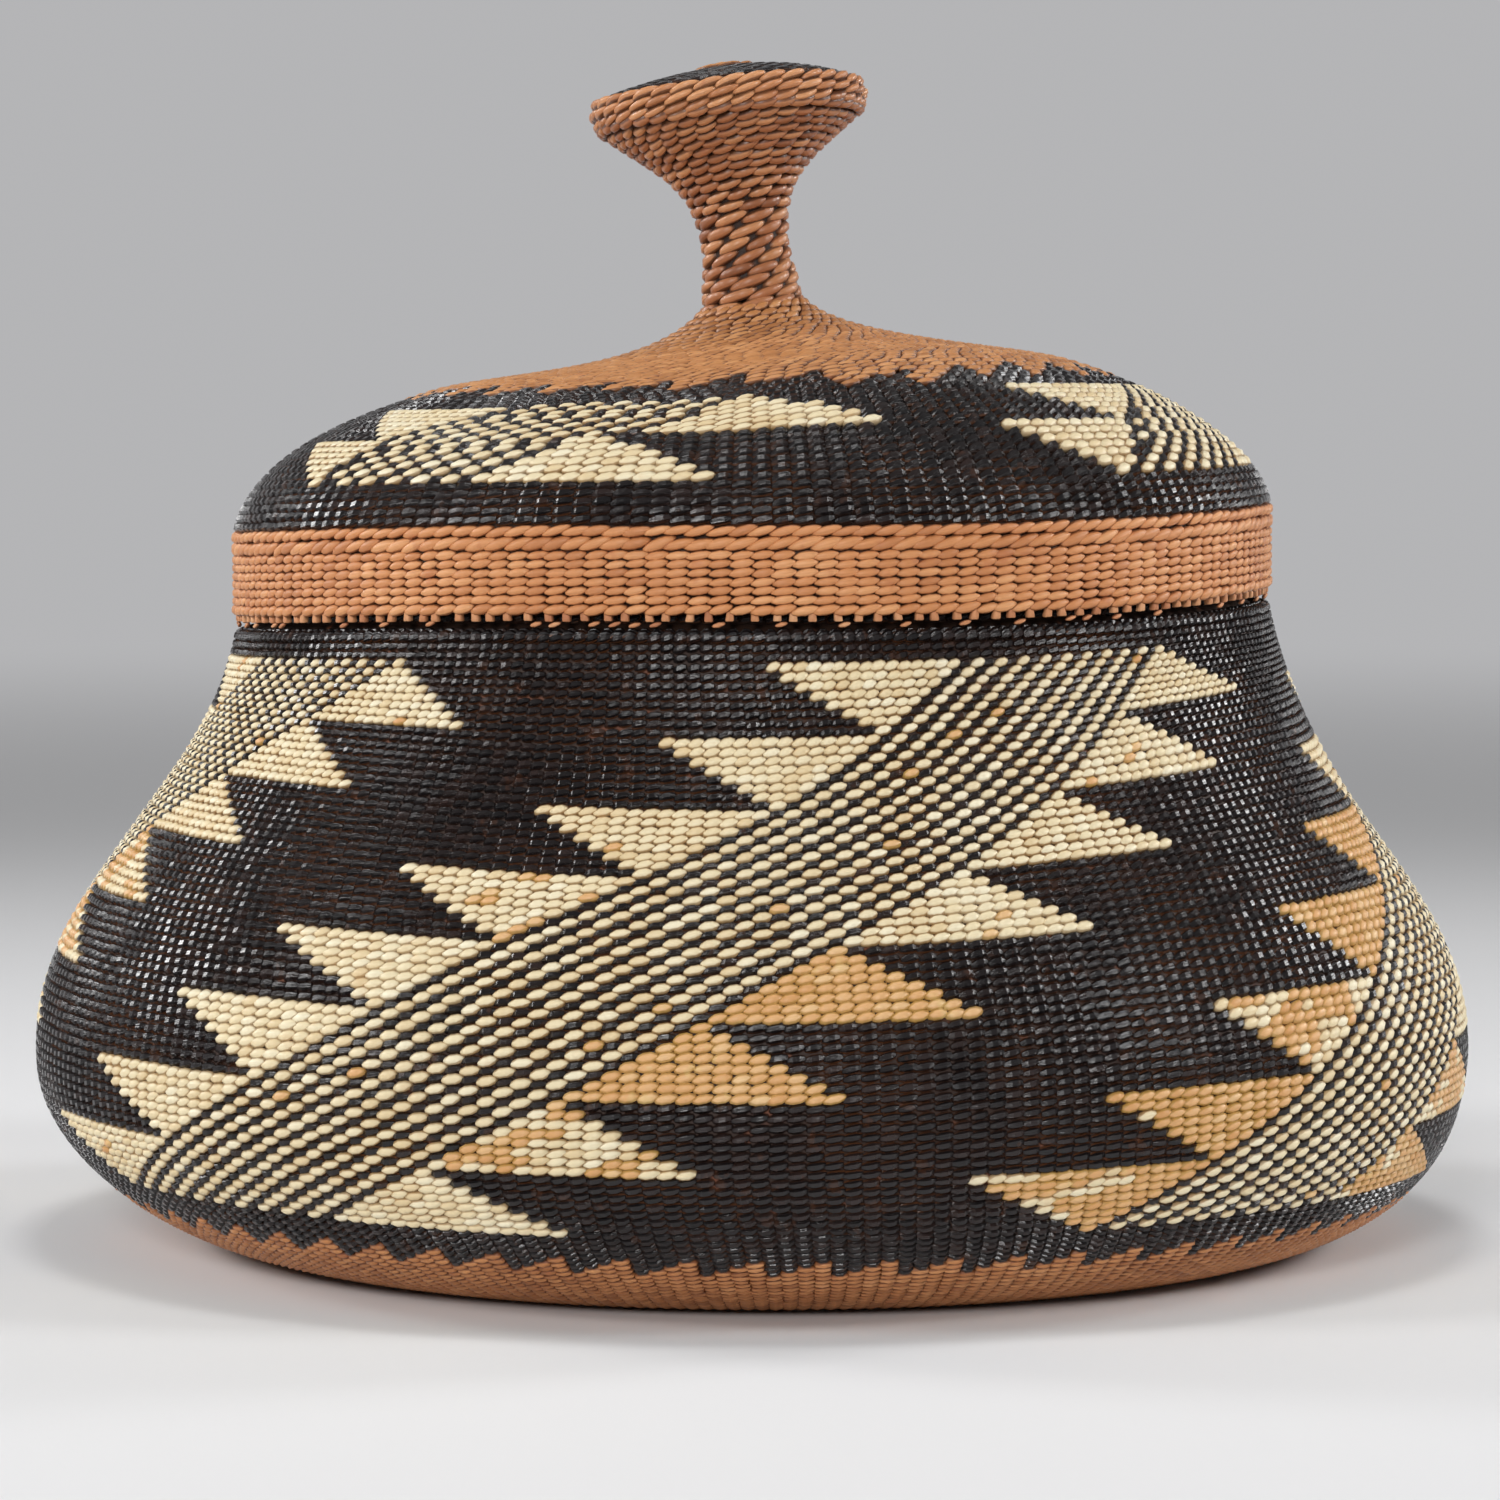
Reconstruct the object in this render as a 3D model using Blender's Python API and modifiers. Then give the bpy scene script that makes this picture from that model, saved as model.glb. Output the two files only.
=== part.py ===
"""Lidded trinket basket, twined from split roots over fine sticks.

The basket is a wide low globe with a neck that steps in to a collar. The lid is a shallow dome
with a straight band that drops over the collar, and its sticks are gathered into a stem that
opens again as a trumpet-shaped knob. Every woven zone is one turned shell whose outer face lies
on the crests of the stitches. All the shells are then set a little out of true, as the hand that
wove the basket left them. Units are metres, +Z is up, and the basket stands on Z = 0.
"""
import math
from dataclasses import dataclass

import bmesh
import bpy
from mathutils import Matrix, Vector

# Basket body
BELLY_RADIUS = 0.0856
BELLY_HEIGHT = 0.0229
BASE_INSET = 0.0236
BASE_START_RADIUS = 0.0110
BASE_START_RISE = 0.0004
NECK_RADIUS = 0.0620
NECK_HEIGHT = 0.0728
BODY_WALL = 0.0022
BASE_CORNER_SHARE = 0.26
BELLY_LOWER_SHARE = 0.70
BELLY_UPPER_SHARE = 0.386
NECK_LEAN_SHARE = 0.23
NECK_REACH_SHARE = 0.447

# Woven zones of the wall: two counted up from the base, one counted down from the neck
PLAIN_BASE_HEIGHT = 0.0052
DARK_BORDER_WIDTH = 0.0058
NECK_WEAVE_WIDTH = 0.0053

# Collar inside the lid, and the step up to it
COLLAR_STEP = 0.0018
COLLAR_CLEARANCE = 0.0007
COLLAR_STEP_SHARE = 0.46
COURSE_HEIGHT = 0.0012
TIP_HEIGHT = 0.0007
TIP_INSET = 0.0003

# Lid, each height counted from the piece below it
LID_SEAT = 0.0027
BAND_HEIGHT = 0.0100
LID_WALL = 0.0020
LID_TIP_LENGTH = 0.0007
SHOULDER_RISE = 0.0117
KNEE_INSET = 0.0239
KNEE_RISE = 0.0170
SHOULDER_START_SHARES = (0.03, 0.298)
SHOULDER_END_SHARES = (0.304, 0.287)
CROWN_START_SHARES = (0.22, 0.24)
CROWN_END_SHARES = (0.153, 0.739)

# Stem and knob, each height counted from the piece below it
STEM_FOOT_RADIUS = 0.0061
STEM_FOOT_RISE = 0.0088
STEM_WAIST_RADIUS = 0.0054
STEM_WAIST_RISE = 0.0062
STEM_WALL = 0.0012
STEM_TOP_RISE = 0.0041
STEM_FOOT_SHARE = 0.4
BUNDLE_FAN_SHARE = 0.45
FLARE_SPREAD = 0.0096
FLARE_RISE = 0.0141
FLARE_WALL = 0.0017
FLARE_RISE_SHARE = 0.57
FLARE_REACH_SHARES = (0.58, 0.32)
RIM_OVERHANG = 0.0017
RIM_CORD_DEPTH = 0.0020
RIM_CORD_HEIGHT = 0.0011
RIM_CORD_PITCH = 0.0014
RIM_CORD_START = 0.0015
RIM_TUCK = 0.0004
KNOB_EDGE_LIFT = 0.0004
KNOB_DOME_RISE = 0.0028
KNOB_WALL = 0.0016

# Clear space between neighbouring pieces
SEAM_GAP = 0.0003
SEAT_DROP = 0.0005

# Hand-made unevenness: the lid rises to the right, the knob leans left, the base sits right
LID_RISE = 0.0018
LID_RISE_RUN = 0.0254
CROWN_RISE_DELAY = 0.0025
CROWN_RISE_RUN = 0.0140
CROWN_RISE_REACH = 0.0130
KNOB_LEAN_SHARE = 0.12
BASE_SHIFT = 0.0020
BASE_SHIFT_RUN = 0.0200

# Radii and heights that follow from the sizes above
BASE_RADIUS = BELLY_RADIUS - BASE_INSET
BAND_RADIUS = NECK_RADIUS
BAND_BOTTOM = NECK_HEIGHT + LID_SEAT
BAND_TOP = BAND_BOTTOM + BAND_HEIGHT
KNEE_RADIUS = BAND_RADIUS - KNEE_INSET
KNEE_HEIGHT = BAND_TOP + KNEE_RISE
STEM_FOOT_HEIGHT = KNEE_HEIGHT + STEM_FOOT_RISE
STEM_WAIST_HEIGHT = STEM_FOOT_HEIGHT + STEM_WAIST_RISE
STEM_TOP_HEIGHT = STEM_WAIST_HEIGHT + STEM_TOP_RISE
FLARE_RADIUS = STEM_WAIST_RADIUS + FLARE_SPREAD
FLARE_HEIGHT = STEM_WAIST_HEIGHT + FLARE_RISE
RIM_RADIUS = FLARE_RADIUS + RIM_OVERHANG

# Faceting, and the distance at which a turned seam is welded
WELD = 0.000001
RING_STEPS = 48
KNOB_STEPS = 32
TOOTH_STEPS = 96
CURVE_STEPS = 60


@dataclass(frozen=True)
class Finish:
    """Plain material of one piece."""

    color: tuple
    roughness: float


ROOT = Finish((0.52, 0.24, 0.09, 1.0), 0.55)
BAND_ROOT = Finish((0.60, 0.30, 0.12, 1.0), 0.50)
FERN = Finish((0.016, 0.011, 0.010, 1.0), 0.28)
GRASS = Finish((0.72, 0.60, 0.36, 1.0), 0.45)
STICK = Finish((0.45, 0.26, 0.12, 1.0), 0.60)


class Outline:
    """A smooth outline in the (radius, height) plane, measured by the length along it."""

    def __init__(self, points):
        """Keep the points and add up the length to each of them."""
        self.points = points
        self.lengths = [0.0]
        for before, after in zip(points, points[1:]):
            self.lengths.append(self.lengths[-1] + (after - before).length)

    @property
    def total(self):
        """Whole length of the outline."""
        return self.lengths[-1]

    def at(self, length):
        """Point at a length along the outline, and the unit tangent there."""
        length = min(max(length, 0.0), self.total)
        index = 1
        while index < len(self.lengths) - 1 and self.lengths[index] < length:
            index += 1
        start, end = self.points[index - 1], self.points[index]
        span = self.lengths[index] - self.lengths[index - 1]
        point = start.lerp(end, (length - self.lengths[index - 1]) / span)
        return point, (end - start).normalized()

    def length_at_height(self, height):
        """Length along a rising outline at which it reaches a height."""
        for index in range(1, len(self.points)):
            low, high = self.points[index - 1].y, self.points[index].y
            if low <= height <= high and high > low:
                share = (height - low) / (high - low)
                return self.lengths[index - 1] + share * (self.lengths[index] - self.lengths[index - 1])
        return self.total

    def shell(self, start, end, wall, steps):
        """Closed section of a shell between two lengths, its wall on the left of the outline."""
        outer = []
        inner = []
        for step in range(steps + 1):
            point, tangent = self.at(start + (end - start) * step / steps)
            outer.append(point)
            inner.append(point + Vector((-tangent.y, tangent.x)) * wall)
        return list(reversed(outer)) + inner


def cubic(start, start_handle, end_handle, end):
    """Points of one cubic curve in the (radius, height) plane."""
    points = []
    for step in range(CURVE_STEPS + 1):
        t = step / CURVE_STEPS
        u = 1.0 - t
        points.append(start * u**3 + start_handle * 3 * u * u * t + end_handle * 3 * u * t * t + end * t**3)
    return points


def body_outline():
    """Outer outline of the basket, from the edge of its flat base up to the foot of the collar."""
    base = Vector((BASE_RADIUS, 0.0))
    belly = Vector((BELLY_RADIUS, BELLY_HEIGHT))
    neck = Vector((NECK_RADIUS, NECK_HEIGHT))
    collar = Vector((collar_radius(), NECK_HEIGHT + COLLAR_STEP))
    rise = NECK_HEIGHT - BELLY_HEIGHT
    reach = NECK_REACH_SHARE * rise
    lower = cubic(
        base,
        base + Vector((BASE_CORNER_SHARE * (BELLY_RADIUS - BASE_RADIUS), 0.0)),
        belly - Vector((0.0, BELLY_LOWER_SHARE * BELLY_HEIGHT)),
        belly,
    )
    upper = cubic(
        belly,
        belly + Vector((0.0, BELLY_UPPER_SHARE * rise)),
        neck + Vector((NECK_LEAN_SHARE * reach, -reach)),
        neck,
    )
    step = COLLAR_STEP_SHARE * COLLAR_STEP
    shoulder = cubic(
        neck,
        neck + Vector((-NECK_LEAN_SHARE * step, step)),
        collar - Vector((0.0, COLLAR_STEP - step)),
        collar,
    )
    return Outline(lower + upper[1:] + shoulder[1:])


def lid_outline():
    """Outer outline of the lid's dome, from the top of its band up to the foot of the stem."""
    band = Vector((BAND_RADIUS, BAND_TOP))
    knee = Vector((KNEE_RADIUS, KNEE_HEIGHT))
    foot = Vector((STEM_FOOT_RADIUS, STEM_FOOT_HEIGHT))
    dome = knee - band
    crown = foot - knee
    shoulder = cubic(
        band,
        band + Vector((SHOULDER_START_SHARES[0] * dome.x, SHOULDER_START_SHARES[1] * dome.y)),
        band + Vector((SHOULDER_END_SHARES[0] * dome.x, (1 - SHOULDER_END_SHARES[1]) * dome.y)),
        knee,
    )
    top = cubic(
        knee,
        knee + Vector((CROWN_START_SHARES[0] * crown.x, CROWN_START_SHARES[1] * crown.y)),
        foot - Vector((CROWN_END_SHARES[0] * crown.x, CROWN_END_SHARES[1] * crown.y)),
        foot,
    )
    return Outline(shoulder + top[1:])


def stem_outline():
    """Outer outline of the stem, from its foot past the waist to the edge of the flare."""
    foot = Vector((STEM_FOOT_RADIUS, STEM_FOOT_HEIGHT))
    waist = Vector((STEM_WAIST_RADIUS, STEM_WAIST_HEIGHT))
    flare = Vector((FLARE_RADIUS, FLARE_HEIGHT))
    lift = Vector((0.0, STEM_FOOT_SHARE * (STEM_WAIST_HEIGHT - STEM_FOOT_HEIGHT)))
    spread = flare - waist
    lower = cubic(foot, foot + lift, waist - lift, waist)
    upper = cubic(
        waist,
        waist + Vector((0.0, FLARE_RISE_SHARE * spread.y)),
        flare - Vector((FLARE_REACH_SHARES[0] * spread.x, FLARE_REACH_SHARES[1] * spread.y)),
        flare,
    )
    return Outline(lower + upper[1:])


def collar_radius():
    """Outer radius of the collar, clear of the band that drops over it."""
    return BAND_RADIUS - LID_WALL - COLLAR_CLEARANCE


def ring_section(radius, wall, low, high):
    """Square-cornered section of a straight ring, down its outer side and up its inner side."""
    outer = [Vector((radius, high)), Vector((radius, low))]
    inner = [Vector((radius - wall, low)), Vector((radius - wall, high))]
    return outer + inner


def cord_section(radius, depth, low, high, corners=6):
    """Rounded section of a thick course whose outermost point is at a radius."""
    middle = Vector((radius - depth / 2, (low + high) / 2))
    points = []
    for corner in range(corners):
        turn = math.pi / 2 - math.tau * (corner + 0.5) / corners
        across = depth / 2 * math.cos(turn) / math.cos(math.pi / corners)
        along = (high - low) / 2 * math.sin(turn) / math.cos(math.pi / corners)
        points.append(middle + Vector((across, along)))
    return points


def smooth(value, low, high):
    """Ease from 0 at low to 1 at high."""
    share = min(max((value - low) / (high - low), 0.0), 1.0)
    return share * share * (3 - 2 * share)


def hand_set(point):
    """Where the hand-made basket really has a point of the true turned shape."""
    outer_rise = (point.x / BAND_RADIUS) ** 3
    crown_rise = math.tanh(point.x / CROWN_RISE_REACH)
    crown_start = BAND_TOP + CROWN_RISE_DELAY
    crown = smooth(point.z, crown_start, crown_start + CROWN_RISE_RUN)
    rise = LID_RISE * (outer_rise * (1 - crown) + crown_rise * crown)
    shift = BASE_SHIFT * (1 - smooth(point.z, 0.0, BASE_SHIFT_RUN))
    lean = KNOB_LEAN_SHARE * max(point.z - STEM_FOOT_HEIGHT, 0.0)
    settled = smooth(point.z, BAND_BOTTOM - LID_RISE_RUN, BAND_BOTTOM)
    return Vector((point.x + shift - lean, point.y, point.z + rise * settled))


def clear_scene():
    """Start from an empty scene."""
    for thing in list(bpy.data.objects):
        bpy.data.objects.remove(thing, do_unlink=True)


def make_collection(name):
    """Add a collection to the scene."""
    collection = bpy.data.collections.new(name)
    bpy.context.scene.collection.children.link(collection)
    return collection


def make_carrier(name, height, collection):
    """Empty that carries the pieces that move together."""
    carrier = bpy.data.objects.new(name, None)
    carrier.location = (0.0, 0.0, height)
    collection.objects.link(carrier)
    return carrier


def make_material(name, finish):
    """Plain Principled material for one piece."""
    material = bpy.data.materials.new(name)
    material.use_nodes = True
    shader = material.node_tree.nodes["Principled BSDF"]
    shader.inputs["Base Color"].default_value = finish.color
    shader.inputs["Roughness"].default_value = finish.roughness
    shader.inputs["Metallic"].default_value = 0.0
    return material


def turned_mesh(name, section, steps, collection, closed=True):
    """Turn a section about the vertical axis and return the closed mesh."""
    profile = bpy.data.meshes.new(name + "_profile")
    edges = [(index, index + 1) for index in range(len(section) - 1)]
    if closed:
        edges.append((len(section) - 1, 0))
    profile.from_pydata([(point.x, 0.0, point.y) for point in section], edges, [])
    blank = bpy.data.objects.new(name + "_blank", profile)
    collection.objects.link(blank)
    screw = blank.modifiers.new("Turn", "SCREW")
    screw.axis = "Z"
    screw.angle = math.tau
    screw.steps = steps
    screw.render_steps = steps
    screw.use_merge_vertices = True
    screw.merge_threshold = WELD
    bpy.context.view_layer.update()
    evaluated = blank.evaluated_get(bpy.context.evaluated_depsgraph_get())
    mesh = bpy.data.meshes.new_from_object(evaluated)
    bpy.data.objects.remove(blank, do_unlink=True)
    bpy.data.meshes.remove(profile)
    mesh.name = name
    return mesh


def add_teeth(shell, length, downward):
    """Draw every second face of a ring's free edge out into the trimmed end of a stick."""
    side = -1.0 if downward else 1.0
    shell.normal_update()
    free = [face for face in shell.faces if face.normal.z * side > math.cos(math.pi / 4)]
    free.sort(key=lambda face: math.atan2(face.calc_center_median().y, face.calc_center_median().x))
    drawn = bmesh.ops.extrude_discrete_faces(shell, faces=free[::2])
    corners = {corner for face in drawn["faces"] for corner in face.verts}
    bmesh.ops.translate(shell, verts=list(corners), vec=(0.0, 0.0, side * length))


def make_piece(name, section, finish, carrier, collection, steps=RING_STEPS, closed=True, teeth=0.0):
    """Add one turned piece to its carrier.

    A closed section is a ring, and an open one runs from the axis back to it. A length of teeth
    above zero points up and one below zero points down.
    """
    mesh = turned_mesh(name, section, steps, collection, closed)
    shell = bmesh.new()
    shell.from_mesh(mesh)
    bmesh.ops.remove_doubles(shell, verts=shell.verts, dist=WELD)
    bmesh.ops.dissolve_degenerate(shell, edges=shell.edges, dist=WELD)
    if teeth:
        add_teeth(shell, abs(teeth), teeth < 0)
    for corner in shell.verts:
        corner.co = hand_set(corner.co)
    bmesh.ops.recalc_face_normals(shell, faces=shell.faces)
    shell.to_mesh(mesh)
    shell.free()
    mesh.transform(Matrix.Translation(-carrier.location))
    mesh.shade_smooth()
    mesh.set_sharp_from_angle(angle=math.radians(40))
    piece = bpy.data.objects.new(name, mesh)
    piece.data.materials.append(make_material(name, finish))
    piece.parent = carrier
    collection.objects.link(piece)
    return piece


def disc_section(radius, low, high):
    """Open section of a flat disc, from the axis over its rim and back."""
    return [Vector((0.0, high)), Vector((radius, high)), Vector((radius, low)), Vector((0.0, low))]


def build_base(carrier, collection):
    """Flat base: the start where the sticks cross, and the plain weave round it."""
    start = disc_section(BASE_START_RADIUS, BASE_START_RISE, BODY_WALL)
    make_piece("base_start", start, ROOT, carrier, collection, closed=False)
    weave_radius = BASE_RADIUS - SEAM_GAP / 2
    wall = weave_radius - BASE_START_RADIUS - SEAM_GAP
    make_piece("base_weave", ring_section(weave_radius, wall, 0.0, BODY_WALL), ROOT, carrier, collection)


def build_wall(carrier, collection):
    """Woven zones of the wall, each a shell on the same outline, up to the foot of the collar."""
    outline = body_outline()
    zones = [
        ("lower_wall_weave", PLAIN_BASE_HEIGHT, ROOT, 4),
        ("dark_border_weave", PLAIN_BASE_HEIGHT + DARK_BORDER_WIDTH, FERN, 2),
        ("patterned_wall_weave", NECK_HEIGHT - NECK_WEAVE_WIDTH, GRASS, 9),
        ("neck_weave", NECK_HEIGHT + COLLAR_STEP, FERN, 5),
    ]
    start = SEAM_GAP / 2
    for name, height, finish, steps in zones:
        end = outline.length_at_height(height)
        section = outline.shell(start, end - SEAM_GAP / 2, BODY_WALL, steps)
        make_piece(name, section, finish, carrier, collection)
        start = end + SEAM_GAP / 2


def rim_tip_top():
    """Height of the collar's trimmed stick ends, just under the dome that rests on them."""
    outline = lid_outline()
    tip_radius = collar_radius() - TIP_INSET
    steps = CURVE_STEPS * 2
    for step in range(steps):
        point, tangent = outline.at(outline.total * step / steps)
        inner = point + Vector((-tangent.y, tangent.x)) * LID_WALL
        if inner.x <= tip_radius:
            return inner.y - SEAT_DROP
    return BAND_TOP


def build_collar(carrier, collection):
    """Collar inside the lid: plain weave, a thick last course and the trimmed stick ends."""
    tip_top = rim_tip_top()
    tip_base = tip_top - TIP_HEIGHT
    course_top = tip_base - TIP_HEIGHT
    course_bottom = course_top - COURSE_HEIGHT
    foot = NECK_HEIGHT + COLLAR_STEP + SEAM_GAP / 2
    radius = collar_radius()
    weave = ring_section(radius, BODY_WALL, foot, course_bottom - SEAM_GAP)
    make_piece("collar_weave", weave, ROOT, carrier, collection)
    course = cord_section(radius, BODY_WALL, course_bottom, course_top - SEAM_GAP)
    make_piece("collar_edge_course", course, ROOT, carrier, collection)
    ends = ring_section(radius - TIP_INSET, BODY_WALL - 2 * TIP_INSET, course_top, tip_base)
    make_piece("collar_stick_ends", ends, STICK, carrier, collection, TOOTH_STEPS, teeth=TIP_HEIGHT)


def build_band(carrier, collection):
    """Straight band of the lid: two thick courses, plain rows, the edge course and stick ends."""
    lower = BAND_TOP - COURSE_HEIGHT
    plain = lower - COURSE_HEIGHT
    for name, top in (("lid_cord_upper", BAND_TOP), ("lid_cord_lower", lower)):
        section = cord_section(BAND_RADIUS, LID_WALL, top - COURSE_HEIGHT, top - SEAM_GAP)
        make_piece(name, section, BAND_ROOT, carrier, collection)
    edge_top = BAND_BOTTOM + COURSE_HEIGHT
    rows = ring_section(BAND_RADIUS, LID_WALL, edge_top, plain - SEAM_GAP)
    make_piece("lid_band_weave", rows, BAND_ROOT, carrier, collection)
    edge = cord_section(BAND_RADIUS, LID_WALL, BAND_BOTTOM, edge_top - SEAM_GAP)
    make_piece("lid_edge_course", edge, BAND_ROOT, carrier, collection)
    top = BAND_BOTTOM - SEAM_GAP
    ends = ring_section(BAND_RADIUS - TIP_INSET, LID_WALL - TIP_INSET, top - SEAM_GAP, top)
    make_piece("lid_stick_ends", ends, STICK, carrier, collection, TOOTH_STEPS, teeth=-LID_TIP_LENGTH)


def build_dome(carrier, collection):
    """Dome of the lid: the patterned shoulder and the plain crown up to the stem."""
    outline = lid_outline()
    shoulder_end = outline.length_at_height(BAND_TOP + SHOULDER_RISE)
    shoulder = outline.shell(SEAM_GAP / 2, shoulder_end - SEAM_GAP / 2, LID_WALL, 6)
    make_piece("lid_shoulder_weave", shoulder, GRASS, carrier, collection)
    crown = outline.shell(shoulder_end + SEAM_GAP / 2, outline.total - SEAM_GAP / 2, LID_WALL, 7)
    make_piece("lid_crown_weave", crown, ROOT, carrier, collection)


def bundle_section(outline, stem_end, radius):
    """Open section of the gathered sticks, which fan out along the inside of the flare."""
    fan_height = STEM_TOP_HEIGHT + BUNDLE_FAN_SHARE * (FLARE_HEIGHT - STEM_TOP_HEIGHT)
    fan_end = outline.length_at_height(fan_height)
    fan = []
    steps = 4
    for step in range(steps + 1):
        point, tangent = outline.at(fan_end + (stem_end - fan_end) * step / steps)
        fan.append(point + Vector((-tangent.y, tangent.x)) * (FLARE_WALL + SEAM_GAP))
    foot = STEM_FOOT_HEIGHT - LID_WALL
    shaft = [Vector((radius, STEM_TOP_HEIGHT)), Vector((radius, foot)), Vector((0.0, foot))]
    return [Vector((0.0, fan[0].y))] + fan + shaft


def build_stem(carrier, collection):
    """Stem: rows of root wound over the gathered sticks, which fan out under the knob."""
    outline = stem_outline()
    stem_end = outline.length_at_height(STEM_TOP_HEIGHT)
    core = STEM_WAIST_RADIUS - STEM_WALL
    weave = []
    for step in range(6):
        point, _ = outline.at(SEAM_GAP + (stem_end - SEAM_GAP * 3 / 2) * step / 5)
        weave.append(point)
    section = list(reversed(weave)) + [Vector((core, weave[0].y)), Vector((core, weave[-1].y))]
    make_piece("knob_stem_weave", section, ROOT, carrier, collection, KNOB_STEPS)
    flare = outline.shell(stem_end + SEAM_GAP / 2, outline.total, FLARE_WALL, 6)
    make_piece("knob_flare_weave", flare, ROOT, carrier, collection, KNOB_STEPS)
    bundle = bundle_section(outline, stem_end, core - SEAM_GAP)
    make_piece("stem_stick_bundle", bundle, STICK, carrier, collection, KNOB_STEPS, closed=False)


def build_knob(carrier, collection):
    """Top of the knob: three thick courses round its rim and the domed dark weave inside them."""
    tucks = (RIM_TUCK, 0.0, RIM_TUCK)
    low = FLARE_HEIGHT + RIM_CORD_START - RIM_CORD_HEIGHT / 2
    for name, tuck in zip(("lower", "middle", "upper"), tucks):
        section = cord_section(RIM_RADIUS - tuck, RIM_CORD_DEPTH, low, low + RIM_CORD_HEIGHT)
        make_piece("knob_rim_cord_" + name, section, ROOT, carrier, collection, KNOB_STEPS)
        low += RIM_CORD_PITCH
    radius = RIM_RADIUS - RIM_TUCK - RIM_CORD_DEPTH - SEAM_GAP
    edge_height = low - RIM_CORD_PITCH + RIM_CORD_HEIGHT + KNOB_EDGE_LIFT
    top = []
    steps = 3
    for step in range(steps + 1):
        share = step / steps
        dome = KNOB_DOME_RISE * (1 - share * share)
        top.append(Vector((radius * share, edge_height + dome)))
    under = [Vector((point.x, point.y - KNOB_WALL)) for point in reversed(top)]
    make_piece("knob_top_weave", top + under, FERN, carrier, collection, KNOB_STEPS, closed=False)


def main():
    """Build the basket and its lid."""
    clear_scene()
    collection = make_collection("lidded_basket")
    basket = make_carrier("basket", 0.0, collection)
    lid = make_carrier("lid", rim_tip_top(), collection)
    build_base(basket, collection)
    build_wall(basket, collection)
    build_collar(basket, collection)
    build_band(lid, collection)
    build_dome(lid, collection)
    build_stem(lid, collection)
    build_knob(lid, collection)
    bpy.context.view_layer.update()


main()
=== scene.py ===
"""Dress a small twined basket and its lid with every stitch that the weaver made.

The basket stands on Z = 0 with its axis on Z and its front towards -Y. A course is one round of
stitches, a stick is one upright of the warp, and every stitch crosses one stick. Lengths are metres.
"""

import logging
import math
from collections.abc import Callable
from dataclasses import dataclass, field, replace
from enum import IntEnum

import bmesh
import bpy
import numpy as np
from mathutils import Matrix, Vector
from mathutils.geometry import interpolate_bezier

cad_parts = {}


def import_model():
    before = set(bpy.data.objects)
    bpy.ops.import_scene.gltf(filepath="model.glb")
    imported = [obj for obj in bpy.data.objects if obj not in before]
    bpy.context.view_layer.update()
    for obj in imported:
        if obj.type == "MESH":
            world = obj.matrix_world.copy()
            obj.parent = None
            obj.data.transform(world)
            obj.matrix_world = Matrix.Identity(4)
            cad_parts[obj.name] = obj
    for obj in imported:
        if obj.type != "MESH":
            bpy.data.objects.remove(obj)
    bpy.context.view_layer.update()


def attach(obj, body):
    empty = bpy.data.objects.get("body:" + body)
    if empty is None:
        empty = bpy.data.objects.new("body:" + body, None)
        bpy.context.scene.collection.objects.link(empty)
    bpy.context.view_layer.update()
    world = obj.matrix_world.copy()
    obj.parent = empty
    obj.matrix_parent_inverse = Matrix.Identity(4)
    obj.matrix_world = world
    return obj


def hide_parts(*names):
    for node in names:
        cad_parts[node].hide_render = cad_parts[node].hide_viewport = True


log = logging.getLogger("basket")

MM = 0.001
BAKE_MAP = "OFBake"
STRAND_MAP = "strand"
UNIT_PLACE = "unit_place"
SPINDLE = "spindle"
CURVE_STEPS = 60
ROUND_COPIES = 68
ROUND_REACH = 100.0
SIZE_VARIES = 0.05
SLANT_VARIES = 0.15
LIFT_VARIES = 0.04
SHIFT_VARIES = 0.045
TILT_VARIES = 0.06 * MM
BACK_GAP = 0.3 * MM
RISE_REACH = 0.5 * MM
MOST_UNEVEN = 2.0
TINT_SHAPE = 2.2
# Edge number in the hollows of the inner weave, which paints shade there.
HOLLOW_SHADE_EDGE = 0.85
STICK_EDGE = 0.3
STICK_VARIES = 0.10
MOST_SHORTER = 0.22
CELL_MARGIN = 0.04
MAP_OFFSET = 90.0
MAP_RADIUS = 60.0

Color = tuple[float, float, float]


class Strand(IntEnum):
    """Which strand lies on the outside of a stitch."""

    FERN = 0
    GRASS = 1
    TAN = 2
    ROOT = 3


def ease(value: np.ndarray, low: float, high: float) -> np.ndarray:
    """Ease from 0 at low to 1 at high.

    Args:
        value: Numbers to ease.
        low: Where the rise starts.
        high: Where it ends.

    Returns:
        One share for each number.
    """
    share = np.clip((value - low) / (high - low), 0.0, 1.0)
    return share * share * (3.0 - 2.0 * share)


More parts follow.
